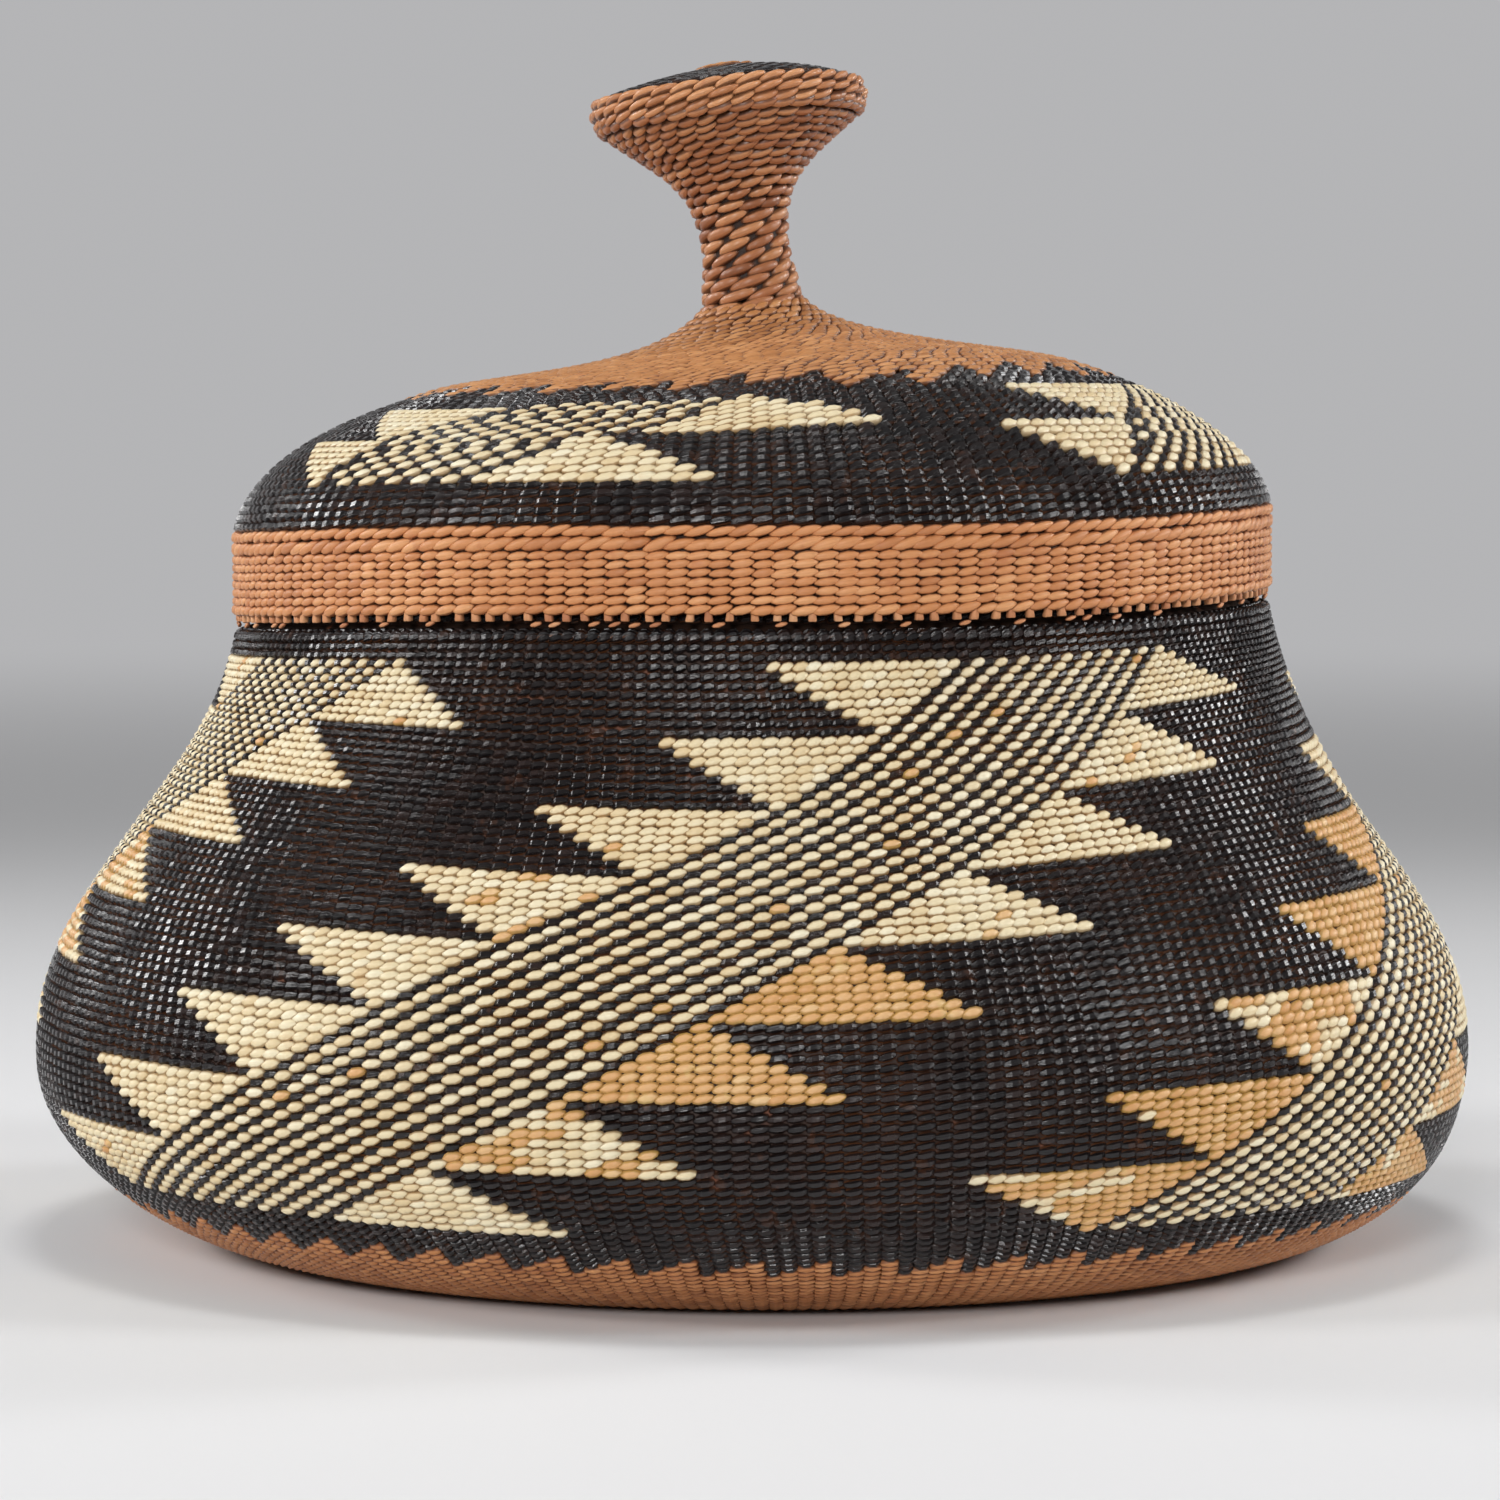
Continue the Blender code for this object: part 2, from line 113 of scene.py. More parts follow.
@dataclass(frozen=True)
class HandSet:
    """How the hand-made basket departs from a true turned shape."""

    band_radius: float = 62.0 * MM
    band_bottom: float = 75.5 * MM
    band_top: float = 85.5 * MM
    stem_foot: float = 111.3 * MM
    lid_rise: float = 1.8 * MM
    lid_rise_run: float = 25.4 * MM
    crown_delay: float = 2.5 * MM
    crown_run: float = 14.0 * MM
    crown_reach: float = 13.0 * MM
    knob_lean: float = 0.12
    knob_tip: float = 0.05
    knob_tip_start: float = 118.0 * MM
    knob_tip_end: float = 132.0 * MM
    base_shift: float = 2.0 * MM
    base_shift_run: float = 20.0 * MM

    def settle(self, points: np.ndarray) -> np.ndarray:
        """Move points of the true shape to where the weaver left them.

        Args:
            points: One row of x, y and z for each point.

        Returns:
            The moved points.
        """
        x, height = points[:, 0], points[:, 2]
        start = self.band_top + self.crown_delay
        crown = ease(height, start, start + self.crown_run)
        outer = (x / self.band_radius) ** 3 * (1.0 - crown)
        rise = self.lid_rise * (outer + np.tanh(x / self.crown_reach) * crown)
        rise = rise * ease(height, self.band_bottom - self.lid_rise_run, self.band_bottom)
        shift = self.base_shift * (1.0 - ease(height, 0.0, self.base_shift_run))
        lean = self.knob_lean * np.maximum(height - self.stem_foot, 0.0)
        moved = points.copy()
        moved[:, 0] = x + shift - lean
        tip = self.knob_tip * ease(height, self.knob_tip_start, self.knob_tip_end)
        moved[:, 2] = height + rise - tip * points[:, 1]
        return moved


class Outline:
    """A smooth outline in the plane of radius and height, measured by the length along it."""

    def __init__(self, curves: list[tuple[tuple[float, float], ...]]) -> None:
        """Join cubic curves end to end.

        Args:
            curves: Start, two handles and end of each curve, as radius and height in millimetres.
        """
        points: list[Vector] = []
        for corners in curves:
            start, first, second, end = (Vector((r, z, 0.0)) * MM for r, z in corners)
            curve = interpolate_bezier(start, first, second, end, CURVE_STEPS + 1)
            points += curve[1:] if points else curve
        self.points = np.array([(point.x, point.y) for point in points])
        steps = np.linalg.norm(np.diff(self.points, axis=0), axis=1)
        self.lengths = np.concatenate([[0.0], np.cumsum(steps)])
        tangents = np.gradient(self.points, self.lengths, axis=0)
        self.tangents = tangents / np.linalg.norm(tangents, axis=1, keepdims=True)

    @property
    def total(self) -> float:
        """Whole length of the outline."""
        return float(self.lengths[-1])

    def at(self, length: np.ndarray) -> tuple[np.ndarray, np.ndarray, np.ndarray, np.ndarray]:
        """Find points on the outline.

        Args:
            length: Lengths along the outline.

        Returns:
            Radius and height of each point, and the two parts of the tangent there.
        """
        radius = np.interp(length, self.lengths, self.points[:, 0])
        height = np.interp(length, self.lengths, self.points[:, 1])
        outward = np.interp(length, self.lengths, self.tangents[:, 0])
        upward = np.interp(length, self.lengths, self.tangents[:, 1])
        return radius, height, outward, upward

    def length_at_height(self, height: float) -> float:
        """Length along a rising outline at which it reaches a height."""
        return float(np.interp(height, self.points[:, 1], self.lengths))

    def offset(self, start: float, end: float, depth: float, steps: int) -> list[Vector]:
        """Walk along a line at one depth under the outline.

        Args:
            start: Length where the walk starts.
            end: Length where it ends.
            depth: How far under the outline it runs.
            steps: Number of equal steps.

        Returns:
            Points in the plane x = radius, z = height.
        """
        radius, height, outward, upward = self.at(np.linspace(start, end, steps + 1))
        across = np.maximum(radius - upward * depth, 0.0)
        along = height + outward * depth
        return [Vector((r, 0.0, z)) for r, z in zip(across, along)]


BODY = Outline([
    ((62.0, 0.0), (68.136, 0.0), (85.6, 6.87), (85.6, 22.9)),
    ((85.6, 22.9), (85.6, 42.1614), (67.1302, 50.4947), (62.0, 72.8)),
    ((62.0, 72.8), (61.8096, 73.628), (59.3, 73.628), (59.3, 74.6)),
])
WALL_FACE = Outline([
    ((62.0, 0.0), (68.136, 0.0), (85.6, 6.87), (85.6, 22.9)),
    ((85.6, 22.9), (85.6, 42.1614), (67.1302, 50.4947), (62.0, 72.8)),
    ((62.0, 72.8), (61.8, 73.7), (62.0, 74.3), (59.3, 74.4)),
])
DOME = Outline([
    ((62.0, 85.5), (61.283, 90.566), (54.7344, 97.621), (38.1, 102.5)),
    ((38.1, 102.5), (31.06, 104.612), (10.996, 104.7968), (6.1, 111.3)),
])
STEM = Outline([
    ((6.1, 111.3), (6.1, 113.78), (5.4, 115.02), (5.4, 117.5)),
    ((5.4, 117.5), (5.4, 125.537), (9.432, 127.088), (15.0, 131.6)),
])
HAND = HandSet()


@dataclass(frozen=True)
class StitchForm:
    """How one kind of stitch fills its place in the weave.

    The length share is of the spacing of the sticks, and the height and slant shares are of the
    spacing of the courses. The slant is the rise from the left tip to the right one. A higher taper
    draws the tips in sooner seen from outside, and a higher fall lets them sink sooner. A ridged
    stitch is folded along its middle instead of round.
    """

    length_share: float = 1.27
    height_share: float = 1.08
    depth: float = 1.0 * MM
    slant_share: float = 0.36
    tuck: float = 0.12 * MM
    taper: float = 0.58
    fall: float = 0.28
    unevenness: float = 1.0
    around: int = 6
    along: int = 4
    ridged: bool = False


FOLDED = StitchForm(
    length_share=1.17, height_share=1.13, depth=1.3 * MM, taper=0.42, fall=0.70, tuck=0.2 * MM, along=5,
    ridged=True,
)


@dataclass
class Stitches:
    """Where each stitch of a piece lies: one number for each stitch in every array."""

    angle: np.ndarray
    radius: np.ndarray
    height: np.ndarray
    outward: np.ndarray
    upward: np.ndarray
    half_length: np.ndarray
    half_height: np.ndarray
    spacing: np.ndarray
    strand: np.ndarray
    column: np.ndarray
    course: np.ndarray

    def __len__(self) -> int:
        """Number of stitches."""
        return len(self.angle)

    def pick(self, wanted: np.ndarray) -> "Stitches":
        """Keep some of the stitches.

        Args:
            wanted: True for each stitch to keep.

        Returns:
            The stitches kept.
        """
        return Stitches(**{name: values[wanted] for name, values in vars(self).items()})

    @staticmethod
    def joined(parts: list["Stitches"]) -> "Stitches":
        """Put several sets of stitches together.

        Args:
            parts: The sets.

        Returns:
            One set of all of them.
        """
        names = vars(parts[0])
        return Stitches(**{name: np.concatenate([vars(part)[name] for part in parts]) for name in names})


@dataclass
class Loom:
    """Lays courses of stitches on a surface that is turned about the axis."""

    form: StitchForm
    courses: list[Stitches] = field(default_factory=list)

    def lay(self, place: tuple, spacing: float, sticks: int, start: float = 0.0, course: int = 0) -> Stitches:
        """Lay one course of stitches.

        Args:
            place: Radius, height and the tangent's two parts, each one number or one for each stick.
            spacing: Distance to the neighbouring courses.
            sticks: Number of sticks that the course crosses.
            start: Angle of the left edge of the first stitch, from the front rightwards.
            course: Number of the course.

        Returns:
            The stitches, which are also kept.
        """
        radius, height, outward, upward = (np.broadcast_to(part, sticks).astype(float) for part in place)
        column = np.arange(sticks)
        pitch = math.tau / sticks
        laid = Stitches(
            angle=start + (column + 0.5) * pitch,
            radius=radius,
            height=height,
            outward=outward,
            upward=upward,
            half_length=radius * pitch * self.form.length_share / 2,
            half_height=np.full(sticks, spacing * self.form.height_share / 2),
            spacing=np.full(sticks, spacing),
            strand=np.full(sticks, int(Strand.ROOT)),
            column=column,
            course=np.full(sticks, course),
        )
        self.courses.append(laid)
        return laid

    def lay_risen(
        self,
        face: Outline,
        rise: Callable,
        length: float,
        spacing: float,
        sticks: int,
        start: float = 0.0,
        course: int = 0,
    ) -> Stitches:
        """Lay one course that rises and falls on its way round.

        Args:
            face: Outline of the surface.
            rise: Gives how far the course runs above its level, for a length and angles.
            length: Where the course is on the outline.
            spacing: Distance to the neighbouring courses.
            sticks: Number of sticks that the course crosses.
            start: Angle of the left edge of the first stitch.
            course: Number of the course.

        Returns:
            The stitches, which are also kept.
        """
        angle = start + (np.arange(sticks) + 0.5) * math.tau / sticks
        laid = self.lay(face.at(length + rise(length, angle)), spacing, sticks, start, course)
        change = rise(length + RISE_REACH, angle) - rise(length - RISE_REACH, angle)
        growth = 1.0 + change / (2 * RISE_REACH)
        laid.half_height = laid.half_height * growth
        laid.spacing = laid.spacing * growth
        return laid

    @property
    def laid(self) -> Stitches:
        """All the stitches so far."""
        return Stitches.joined(self.courses)


def read(
    values: bpy.types.bpy_prop_collection, name: str, width: int = 1, kind: type = np.float32
) -> np.ndarray:
    """Read one property of many things.

    Args:
        values: The things.
        name: The property.
        width: How many numbers it has.
        kind: Kind of the numbers.

    Returns:
        One number or one row for each thing.
    """
    found = np.empty(len(values) * width, kind)
    values.foreach_get(name, found)
    return found.reshape(-1, width) if width > 1 else found


def corner_points(mesh: bpy.types.Mesh) -> np.ndarray:
    """Places of a mesh's corners, one row for each."""
    return read(mesh.vertices, "co", 3).astype(float)


def loop_corners(mesh: bpy.types.Mesh) -> np.ndarray:
    """Number of the corner at every corner of every face."""
    return read(mesh.loops, "vertex_index", kind=np.int32)


def turn_of(points: np.ndarray) -> np.ndarray:
    """Angle of each point from the front rightwards."""
    return np.arctan2(points[:, 0], -points[:, 1])


def placed(name: str, data: bpy.types.ID) -> bpy.types.Object:
    """Add an object to the scene."""
    thing = bpy.data.objects.new(name, data)
    bpy.context.scene.collection.objects.link(thing)
    return thing


def whole(shape: bmesh.types.BMesh) -> list:
    """All the corners, edges and faces of a shape."""
    return shape.verts[:] + shape.edges[:] + shape.faces[:]


def as_mesh(shape: bmesh.types.BMesh, name: str) -> bpy.types.Mesh:
    """Turn a shape into a mesh and let go of the shape."""
    mesh = bpy.data.meshes.new(name)
    shape.to_mesh(mesh)
    shape.free()
    return mesh


def copy_round(shape: bmesh.types.BMesh, parts: list, copies: int, full: int, away: float = 0.0) -> None:
    """Copy parts of a shape round an upright axis.

    Args:
        shape: The shape.
        parts: Its corners, edges and faces to copy.
        copies: How many of them there are in the end.
        full: How many of them would fill the round.
        away: How far behind the origin the axis is.
    """
    if copies > 1:
        bmesh.ops.spin(
            shape,
            geom=parts,
            cent=(0.0, away, 0.0),
            axis=(0.0, 0.0, 1.0),
            angle=math.tau * (copies - 1) / full,
            steps=copies - 1,
            use_duplicate=True,
        )


def spun_round(form: StitchForm, copies: int) -> bpy.types.Mesh:
    """Spin one closed spindle into a round of separate ones.

    Every corner keeps its place on the spindle of unit size, and the number of its spindle.

    Args:
        form: Its numbers of faces are used.
        copies: Number of spindles in the round.

    Returns:
        The mesh of the round.
    """
    spindles = bmesh.new()
    spindles.loops.layers.uv.new(BAKE_MAP)
    place = spindles.verts.layers.float_vector.new(UNIT_PLACE)
    bmesh.ops.create_uvsphere(
        spindles, u_segments=form.around, v_segments=form.along, radius=1.0, calc_uvs=True
    )
    roll = 0.0 if form.ridged else math.pi / form.around
    lie_down = Matrix.Rotation(roll, 3, "X") @ Matrix.Rotation(-math.pi / 2, 3, "Y")
    bmesh.ops.rotate(spindles, verts=spindles.verts, cent=(0.0, 0.0, 0.0), matrix=lie_down)
    for corner in spindles.verts:
        corner[place] = corner.co
    copy_round(spindles, whole(spindles), copies, ROUND_COPIES, ROUND_REACH)
    mesh = as_mesh(spindles, "round")
    points = corner_points(mesh)
    turn = np.arctan2(points[:, 0], ROUND_REACH - points[:, 1]) % math.tau
    number = np.round(turn / math.tau * ROUND_COPIES).astype(np.int32) % ROUND_COPIES
    mesh.attributes.new(SPINDLE, "INT", "POINT").data.foreach_set("value", number)
    return mesh


def blank_spindles(name: str, form: StitchForm, count: int) -> tuple[bpy.types.Mesh, np.ndarray, np.ndarray]:
    """Make a mesh of many separate spindles, which are put in place afterwards.

    Args:
        name: Name of the mesh.
        form: Its numbers of faces are used.
        count: Number of spindles.

    Returns:
        The mesh, each corner's place on the spindle of unit size, and the number of its spindle.
    """
    rounds, rest = divmod(count, ROUND_COPIES)
    gathered = bmesh.new()
    firsts: list[np.ndarray] = []
    for copies, repeats in ((ROUND_COPIES, rounds), (rest, 1)):
        if not copies or not repeats:
            continue
        mesh = spun_round(form, copies)
        for _ in range(repeats):
            firsts.append(np.full(len(mesh.vertices), len(firsts) * ROUND_COPIES, np.int32))
            gathered.from_mesh(mesh)
        bpy.data.meshes.remove(mesh)
    mesh = as_mesh(gathered, name)
    number = read(mesh.attributes[SPINDLE].data, "value", kind=np.int32)
    unit = read(mesh.attributes[UNIT_PLACE].data, "vector", 3).astype(float)
    for spare in (SPINDLE, UNIT_PLACE):
        mesh.attributes.remove(mesh.attributes[spare])
    return mesh, unit, number + np.concatenate(firsts)


class NodeBench:
    """Adds nodes to one tree and joins them."""

    def __init__(self, tree: bpy.types.NodeTree) -> None:
        """Keep the tree."""
        self.tree = tree

    def put(self, socket: bpy.types.NodeSocket, value: object) -> None:
        """Join a socket to an input, or set the input to a plain value or to a colour of three parts."""
        if isinstance(value, bpy.types.NodeSocket):
            self.tree.links.new(value, socket)
        else:
            socket.default_value = (*value, 1.0) if isinstance(value, tuple) else value

    def add(self, kind: str, feeds: dict, **settings: object) -> bpy.types.Node:
        """Add a node.

        Args:
            kind: Its kind.
            feeds: A socket or a plain value for each input that is used, by name or number.
            settings: Its own settings.

        Returns:
            The node.
        """
        node = self.tree.nodes.new("ShaderNode" + kind)
        for name, value in settings.items():
            setattr(node, name, value)
        for place, value in feeds.items():
            self.put(node.inputs[place], value)
        return node

    def attribute(self, name: str) -> bpy.types.NodeSocket:
        """Read a number kept on the mesh."""
        return self.add("Attribute", {}, attribute_name=name).outputs["Fac"]

    def position(self) -> bpy.types.NodeSocket:
        """Read the place on the object."""
        return self.add("TexCoord", {}).outputs["Object"]

    def maths(self, kind: str, first: object, second: object) -> bpy.types.NodeSocket:
        """Work out one number from two numbers or sockets."""
        return self.add("Math", {0: first, 1: second}, operation=kind).outputs[0]

    def span(
        self, value: object, low: object, high: object, to_low: float = 0.0, to_high: float = 1.0
    ) -> bpy.types.NodeSocket:
        """Ease a number from one span to another.

        Args:
            value: Number or socket.
            low: Start of its span.
            high: End of its span.
            to_low: What the start becomes.
            to_high: What the end becomes.

        Returns:
            The result's socket.
        """
        feeds = dict(enumerate((value, low, high, to_low, to_high)))
        return self.add("MapRange", feeds, interpolation_type="SMOOTHSTEP").outputs[0]

    def mix_color(self, share: object, first: object, second: object) -> bpy.types.NodeSocket:
        """Mix a share of the second colour into the first."""
        return self.add("Mix", {0: share, 6: first, 7: second}, data_type="RGBA").outputs[2]

    def noise(self, vector: bpy.types.NodeSocket, scale: float, detail: float) -> bpy.types.NodeSocket:
        """Read a noise of one scale and detail."""
        return self.add("TexNoise", {"Vector": vector, "Scale": scale, "Detail": detail}).outputs["Fac"]

    def stretch(self, vector: bpy.types.NodeSocket, x: object, y: object) -> bpy.types.NodeSocket:
        """Scale the first two parts of a vector."""
        factors = self.add("CombineXYZ", {0: x, 1: y, 2: 1.0}).outputs[0]
        return self.add("VectorMath", {0: vector, 1: factors}, operation="MULTIPLY").outputs[0]

    def shared(self, name: str, feeds: dict) -> bpy.types.Node:
        """Place one of the shader node groups, and make it first if it isn't there.

        Args:
            name: Name of the group.
            feeds: A socket or a plain value for each of its inputs.

        Returns:
            The node.
        """
        inputs, outputs, fill = GROUPS[name]
        tree = bpy.data.node_groups.get(name)
        if not tree:
            tree = bpy.data.node_groups.new(name, "ShaderNodeTree")
            for way, sockets in (("INPUT", inputs), ("OUTPUT", outputs)):
                for title, kind in sockets.items():
                    tree.interface.new_socket(name=title, in_out=way, socket_type="NodeSocket" + kind)
            start = tree.nodes.new("NodeGroupInput")
            end = tree.nodes.new("NodeGroupOutput")
            bench = NodeBench(tree)
            for title, socket in zip(outputs, fill(bench, start.outputs)):
                bench.put(end.inputs[title], socket)
        return self.add("Group", feeds, node_tree=tree)


def stitch_tone(bench: NodeBench, given: bpy.types.bpy_prop_collection) -> tuple:
    """Tone that differs from stitch to stitch and drifts slowly over the basket.

    Args:
        bench: Bench for the group's tree.
        given: Sockets of its inputs.

    Returns:
        The colour.
    """
    drift = bench.noise(given["Position"], 38.0, 3.0)
    drift = bench.maths("MULTIPLY", bench.maths("SUBTRACT", drift, 0.5), 0.9)
    tint = bench.maths("ADD", given["Tint"], drift)
    lower = bench.mix_color(bench.span(tint, 0.0, 0.5), given["Dark"], given["Middle"])
    return (bench.mix_color(bench.span(tint, 0.5, 1.0), lower, given["Light"]),)


def strand_grain(bench: NodeBench, given: bpy.types.bpy_prop_collection) -> tuple:
    """Fine fibres that run along each strand.

    Args:
        bench: Bench for the group's tree.
        given: Sockets of its inputs.

    Returns:
        Where the streaks are, and the height of the surface.
    """
    along = bench.stretch(given["Strand"], 0.35, given["Fineness"])
    coarse = bench.noise(along, 1.0, 2.0)
    fine = bench.noise(bench.stretch(along, 1.0, 2.6), 1.0, 3.0)
    both = bench.maths("ADD", bench.maths("MULTIPLY", coarse, 0.6), bench.maths("MULTIPLY", fine, 0.4))
    return bench.span(both, 0.42, 0.68), bench.span(both, 0.3, 0.7, 1.0, 0.0)


def crease_shade_and_flecks(bench: NodeBench, given: bpy.types.bpy_prop_collection) -> tuple:
    """Lines where a strand turns under its neighbours, which take the finish's edge colour and so paint shade
    in these creases (on the fern the brown edge is the strand's own colour), and stray flecks on its top.

    Args:
        bench: Bench for the group's tree.
        given: Sockets of its inputs.

    Returns:
        Where the painted crease shade goes, and where the flecks are.
    """
    place, reach = given["Position"], given["Reach"]
    ragged = bench.maths("SUBTRACT", bench.noise(place, 1100.0, 3.0), 0.5)
    ragged = bench.maths("ADD", given["Edge"], bench.maths("MULTIPLY", ragged, 0.22))
    line = bench.span(ragged, reach, bench.maths("ADD", reach, 0.24))
    patch = bench.span(bench.noise(place, 75.0, 2.0), 0.38, 0.6)
    patch = bench.maths("SUBTRACT", 1.0, bench.maths("MULTIPLY", patch, given["Patchiness"]))
    spots = bench.span(bench.noise(place, 420.0, 2.0), 0.62, 0.72)
    return bench.maths("MULTIPLY", line, patch), bench.maths("MULTIPLY", spots, given["Fleck Amount"])


GROUPS = {
    "stitch tone": (
        {"Tint": "Float", "Position": "Vector", "Dark": "Color", "Middle": "Color", "Light": "Color"},
        {"Color": "Color"},
        stitch_tone,
    ),
    "strand grain": (
        {"Strand": "Vector", "Fineness": "Float"}, {"Streak": "Float", "Height": "Float"}, strand_grain,
    ),
    "hand wear": (
        {
            "Edge": "Float", "Position": "Vector", "Reach": "Float",
            "Patchiness": "Float", "Fleck Amount": "Float",
        },
        {"Hollow": "Float", "Fleck": "Float"},
        crease_shade_and_flecks,
    ),
}


@dataclass(frozen=True)
class StrandFinish:
    """The look of one kind of strand, in linear colours."""

    name: str
    slot: str
    dark: Color
    middle: Color
    light: Color
    # Edge colour: where a strand turns under its neighbours, and on the inner weave in the hollows and over
    # the core. On the fern it is the strand's own brown edge; on every other finish it is darker and paints
    # shade there.
    edge: Color
    edge_reach: float
    edge_amount: float
    edge_patches: float
    fleck: Color
    fleck_amount: float
    roughness: float
    roughness_range: float
    specular: float
    grain: float
    grain_contrast: float
    flat_faced: bool = False
    bump_strength: float = 0.45
    bump_height: float = 0.04 * MM

    def material(self) -> bpy.types.Material:
        """Make the material, or find it if it is there.

        Returns:
            The material.
        """
        found = bpy.data.materials.get(self.name)
        if found:
            return found
        material = bpy.data.materials.new(self.name)
        material.use_nodes = True
        bench = NodeBench(material.node_tree)
        place = bench.position()
        tone = bench.shared("stitch tone", {
            "Tint": bench.attribute("tint"), "Position": place,
            "Dark": self.dark, "Middle": self.middle, "Light": self.light,
        })
        strand = bench.add("UVMap", {}, uv_map=STRAND_MAP).outputs["UV"]
        grain = bench.shared("strand grain", {"Strand": strand, "Fineness": self.grain}).outputs
        flecks_and_crease_shade = bench.shared("hand wear", {
            "Edge": bench.attribute("edge"), "Position": place, "Reach": self.edge_reach,
            "Patchiness": self.edge_patches, "Fleck Amount": self.fleck_amount,
        }).outputs
        streak = bench.maths("MULTIPLY", grain["Streak"], self.grain_contrast)
        shaded = bench.mix_color(streak, tone.outputs["Color"], self.dark)
        # Mix in the edge colour along the creases: on every finish but the fern this paints shade where a
        # stitch turns under its neighbours; the fern's brown edge is its own colour.
        edged = bench.mix_color(bench.maths("MULTIPLY", flecks_and_crease_shade["Hollow"], self.edge_amount), shaded, self.edge)
        spread = bench.maths("MULTIPLY", grain["Streak"], self.roughness_range)
        bump = {"Strength": self.bump_strength, "Distance": self.bump_height, "Height": grain["Height"]}
        shader = material.node_tree.nodes["Principled BSDF"]
        for name, value in {
            "Base Color": bench.mix_color(flecks_and_crease_shade["Fleck"], edged, self.fleck),
            "Roughness": bench.maths("ADD", spread, self.roughness),
            "Normal": bench.add("Bump", bump).outputs["Normal"],
            "Specular IOR Level": self.specular,
        }.items():
            bench.put(shader.inputs[name], value)
        return material


FERN = StrandFinish(
    name="black_fern_strand", slot="black_fern", flat_faced=True,
    dark=(0.0060, 0.0050, 0.0055), middle=(0.0120, 0.0088, 0.0088), light=(0.0260, 0.0150, 0.0130),
    edge=(0.125, 0.046, 0.017), edge_reach=0.70, edge_amount=0.75, edge_patches=0.85,
    fleck=(0.13, 0.050, 0.022), fleck_amount=0.22, roughness=0.14, roughness_range=0.10, specular=0.42,
    grain=7.0, grain_contrast=0.5,
)
# The darker edge colours of the grass and root finishes paint shade in the creases where each stitch turns
# under its neighbours.
GRASS = StrandFinish(
    name="cream_grass_strand", slot="bear_grass",
    dark=(0.69, 0.54, 0.31), middle=(0.77, 0.66, 0.43), light=(0.83, 0.76, 0.56),
    edge=(0.28, 0.14, 0.035), edge_reach=0.66, edge_amount=0.85, edge_patches=0.3,
    fleck=(0.60, 0.30, 0.10), fleck_amount=0.12, roughness=0.40, roughness_range=0.14, specular=0.45,
    grain=6.0, grain_contrast=0.32,
)
TAN = replace(
    GRASS, name="tan_grass_strand",
    dark=(0.59, 0.300, 0.110), middle=(0.68, 0.390, 0.170), light=(0.74, 0.500, 0.255),
    edge=(0.41, 0.23, 0.045), edge_reach=0.54, fleck=(0.70, 0.54, 0.22), fleck_amount=0.3,
)
BAND_ROOT = StrandFinish(
    name="band_root_strand", slot="peeled_root",
    dark=(0.47, 0.180, 0.064), middle=(0.60, 0.255, 0.097), light=(0.70, 0.340, 0.145),
    edge=(0.16, 0.042, 0.012), edge_reach=0.70, edge_amount=0.85, edge_patches=0.2,
    fleck=(0.42, 0.13, 0.055), fleck_amount=0.30, roughness=0.44, roughness_range=0.14, specular=0.45,
    grain=5.0, grain_contrast=0.42,
)
WALL_ROOT = replace(
    BAND_ROOT, name="wall_root_strand",
    dark=(0.37, 0.140, 0.048), middle=(0.52, 0.215, 0.076), light=(0.63, 0.290, 0.115),
)
KNOB_ROOT = replace(
    WALL_ROOT, name="knob_root_strand", edge=(0.10, 0.028, 0.010), roughness=0.36,
    dark=(0.38, 0.155, 0.052), middle=(0.53, 0.235, 0.085), light=(0.65, 0.320, 0.130),
)
# Darker brown root for the stem and flare; its darker edge colour, reaching further, paints shade in the gaps
# between the wound strands.
STEM_ROOT = replace(
    KNOB_ROOT, name="stem_root_strand", edge=(0.045, 0.014, 0.007), edge_reach=0.60, roughness=0.30,
    dark=(0.25, 0.092, 0.040), middle=(0.42, 0.168, 0.072), light=(0.58, 0.270, 0.120),
)
# Its darker edge colour paints shade in the grooves between the three cords.
RIM_ROOT = replace(
    KNOB_ROOT, name="rim_root_strand", edge=(0.060, 0.018, 0.008), edge_reach=0.58, roughness=0.30,
    dark=(0.36, 0.140, 0.056), middle=(0.54, 0.230, 0.096), light=(0.68, 0.330, 0.150),
)
STICK = replace(
    BAND_ROOT, name="trimmed_stick", slot="stick", roughness=0.6,
    dark=(0.42, 0.16, 0.07), middle=(0.56, 0.25, 0.11), light=(0.68, 0.36, 0.18),
)
# Its near-black edge colour, at full amount and unbroken, paints shade into the hollows between the raised
# cells and onto the core seen between the stitches.
INSIDE_ROOT = replace(
    WALL_ROOT, name="inside_root_weave", roughness=0.6,
    dark=(0.28, 0.12, 0.045), middle=(0.42, 0.19, 0.080), light=(0.52, 0.27, 0.120),
    edge=(0.030, 0.013, 0.007), edge_reach=0.45, edge_amount=1.0, edge_patches=0.0,
)
# Near-black painted shade for the knob core seen through the gaps of the stem, flare and top; as the core has
# no raised cells, all of it takes the near-black edge colour.
KNOB_CORE_SHADE = replace(
    INSIDE_ROOT, name="knob_core_root",
    dark=(0.050, 0.018, 0.009), middle=(0.080, 0.030, 0.014), light=(0.120, 0.048, 0.022),
)


def settled_object(name: str, mesh: bpy.types.Mesh, points: np.ndarray) -> bpy.types.Object:
    """Give a mesh its final places and add it to the scene.

    Args:
        name: Name of the piece.
        mesh: Its mesh.
        points: Where its corners are on the true turned shape.

    Returns:
        The object.
    """
    mesh.vertices.foreach_set("co", HAND.settle(points).astype(np.float32).ravel())
    mesh.name = name
    mesh.shade_smooth()
    mesh.update()
    return placed(name, mesh)


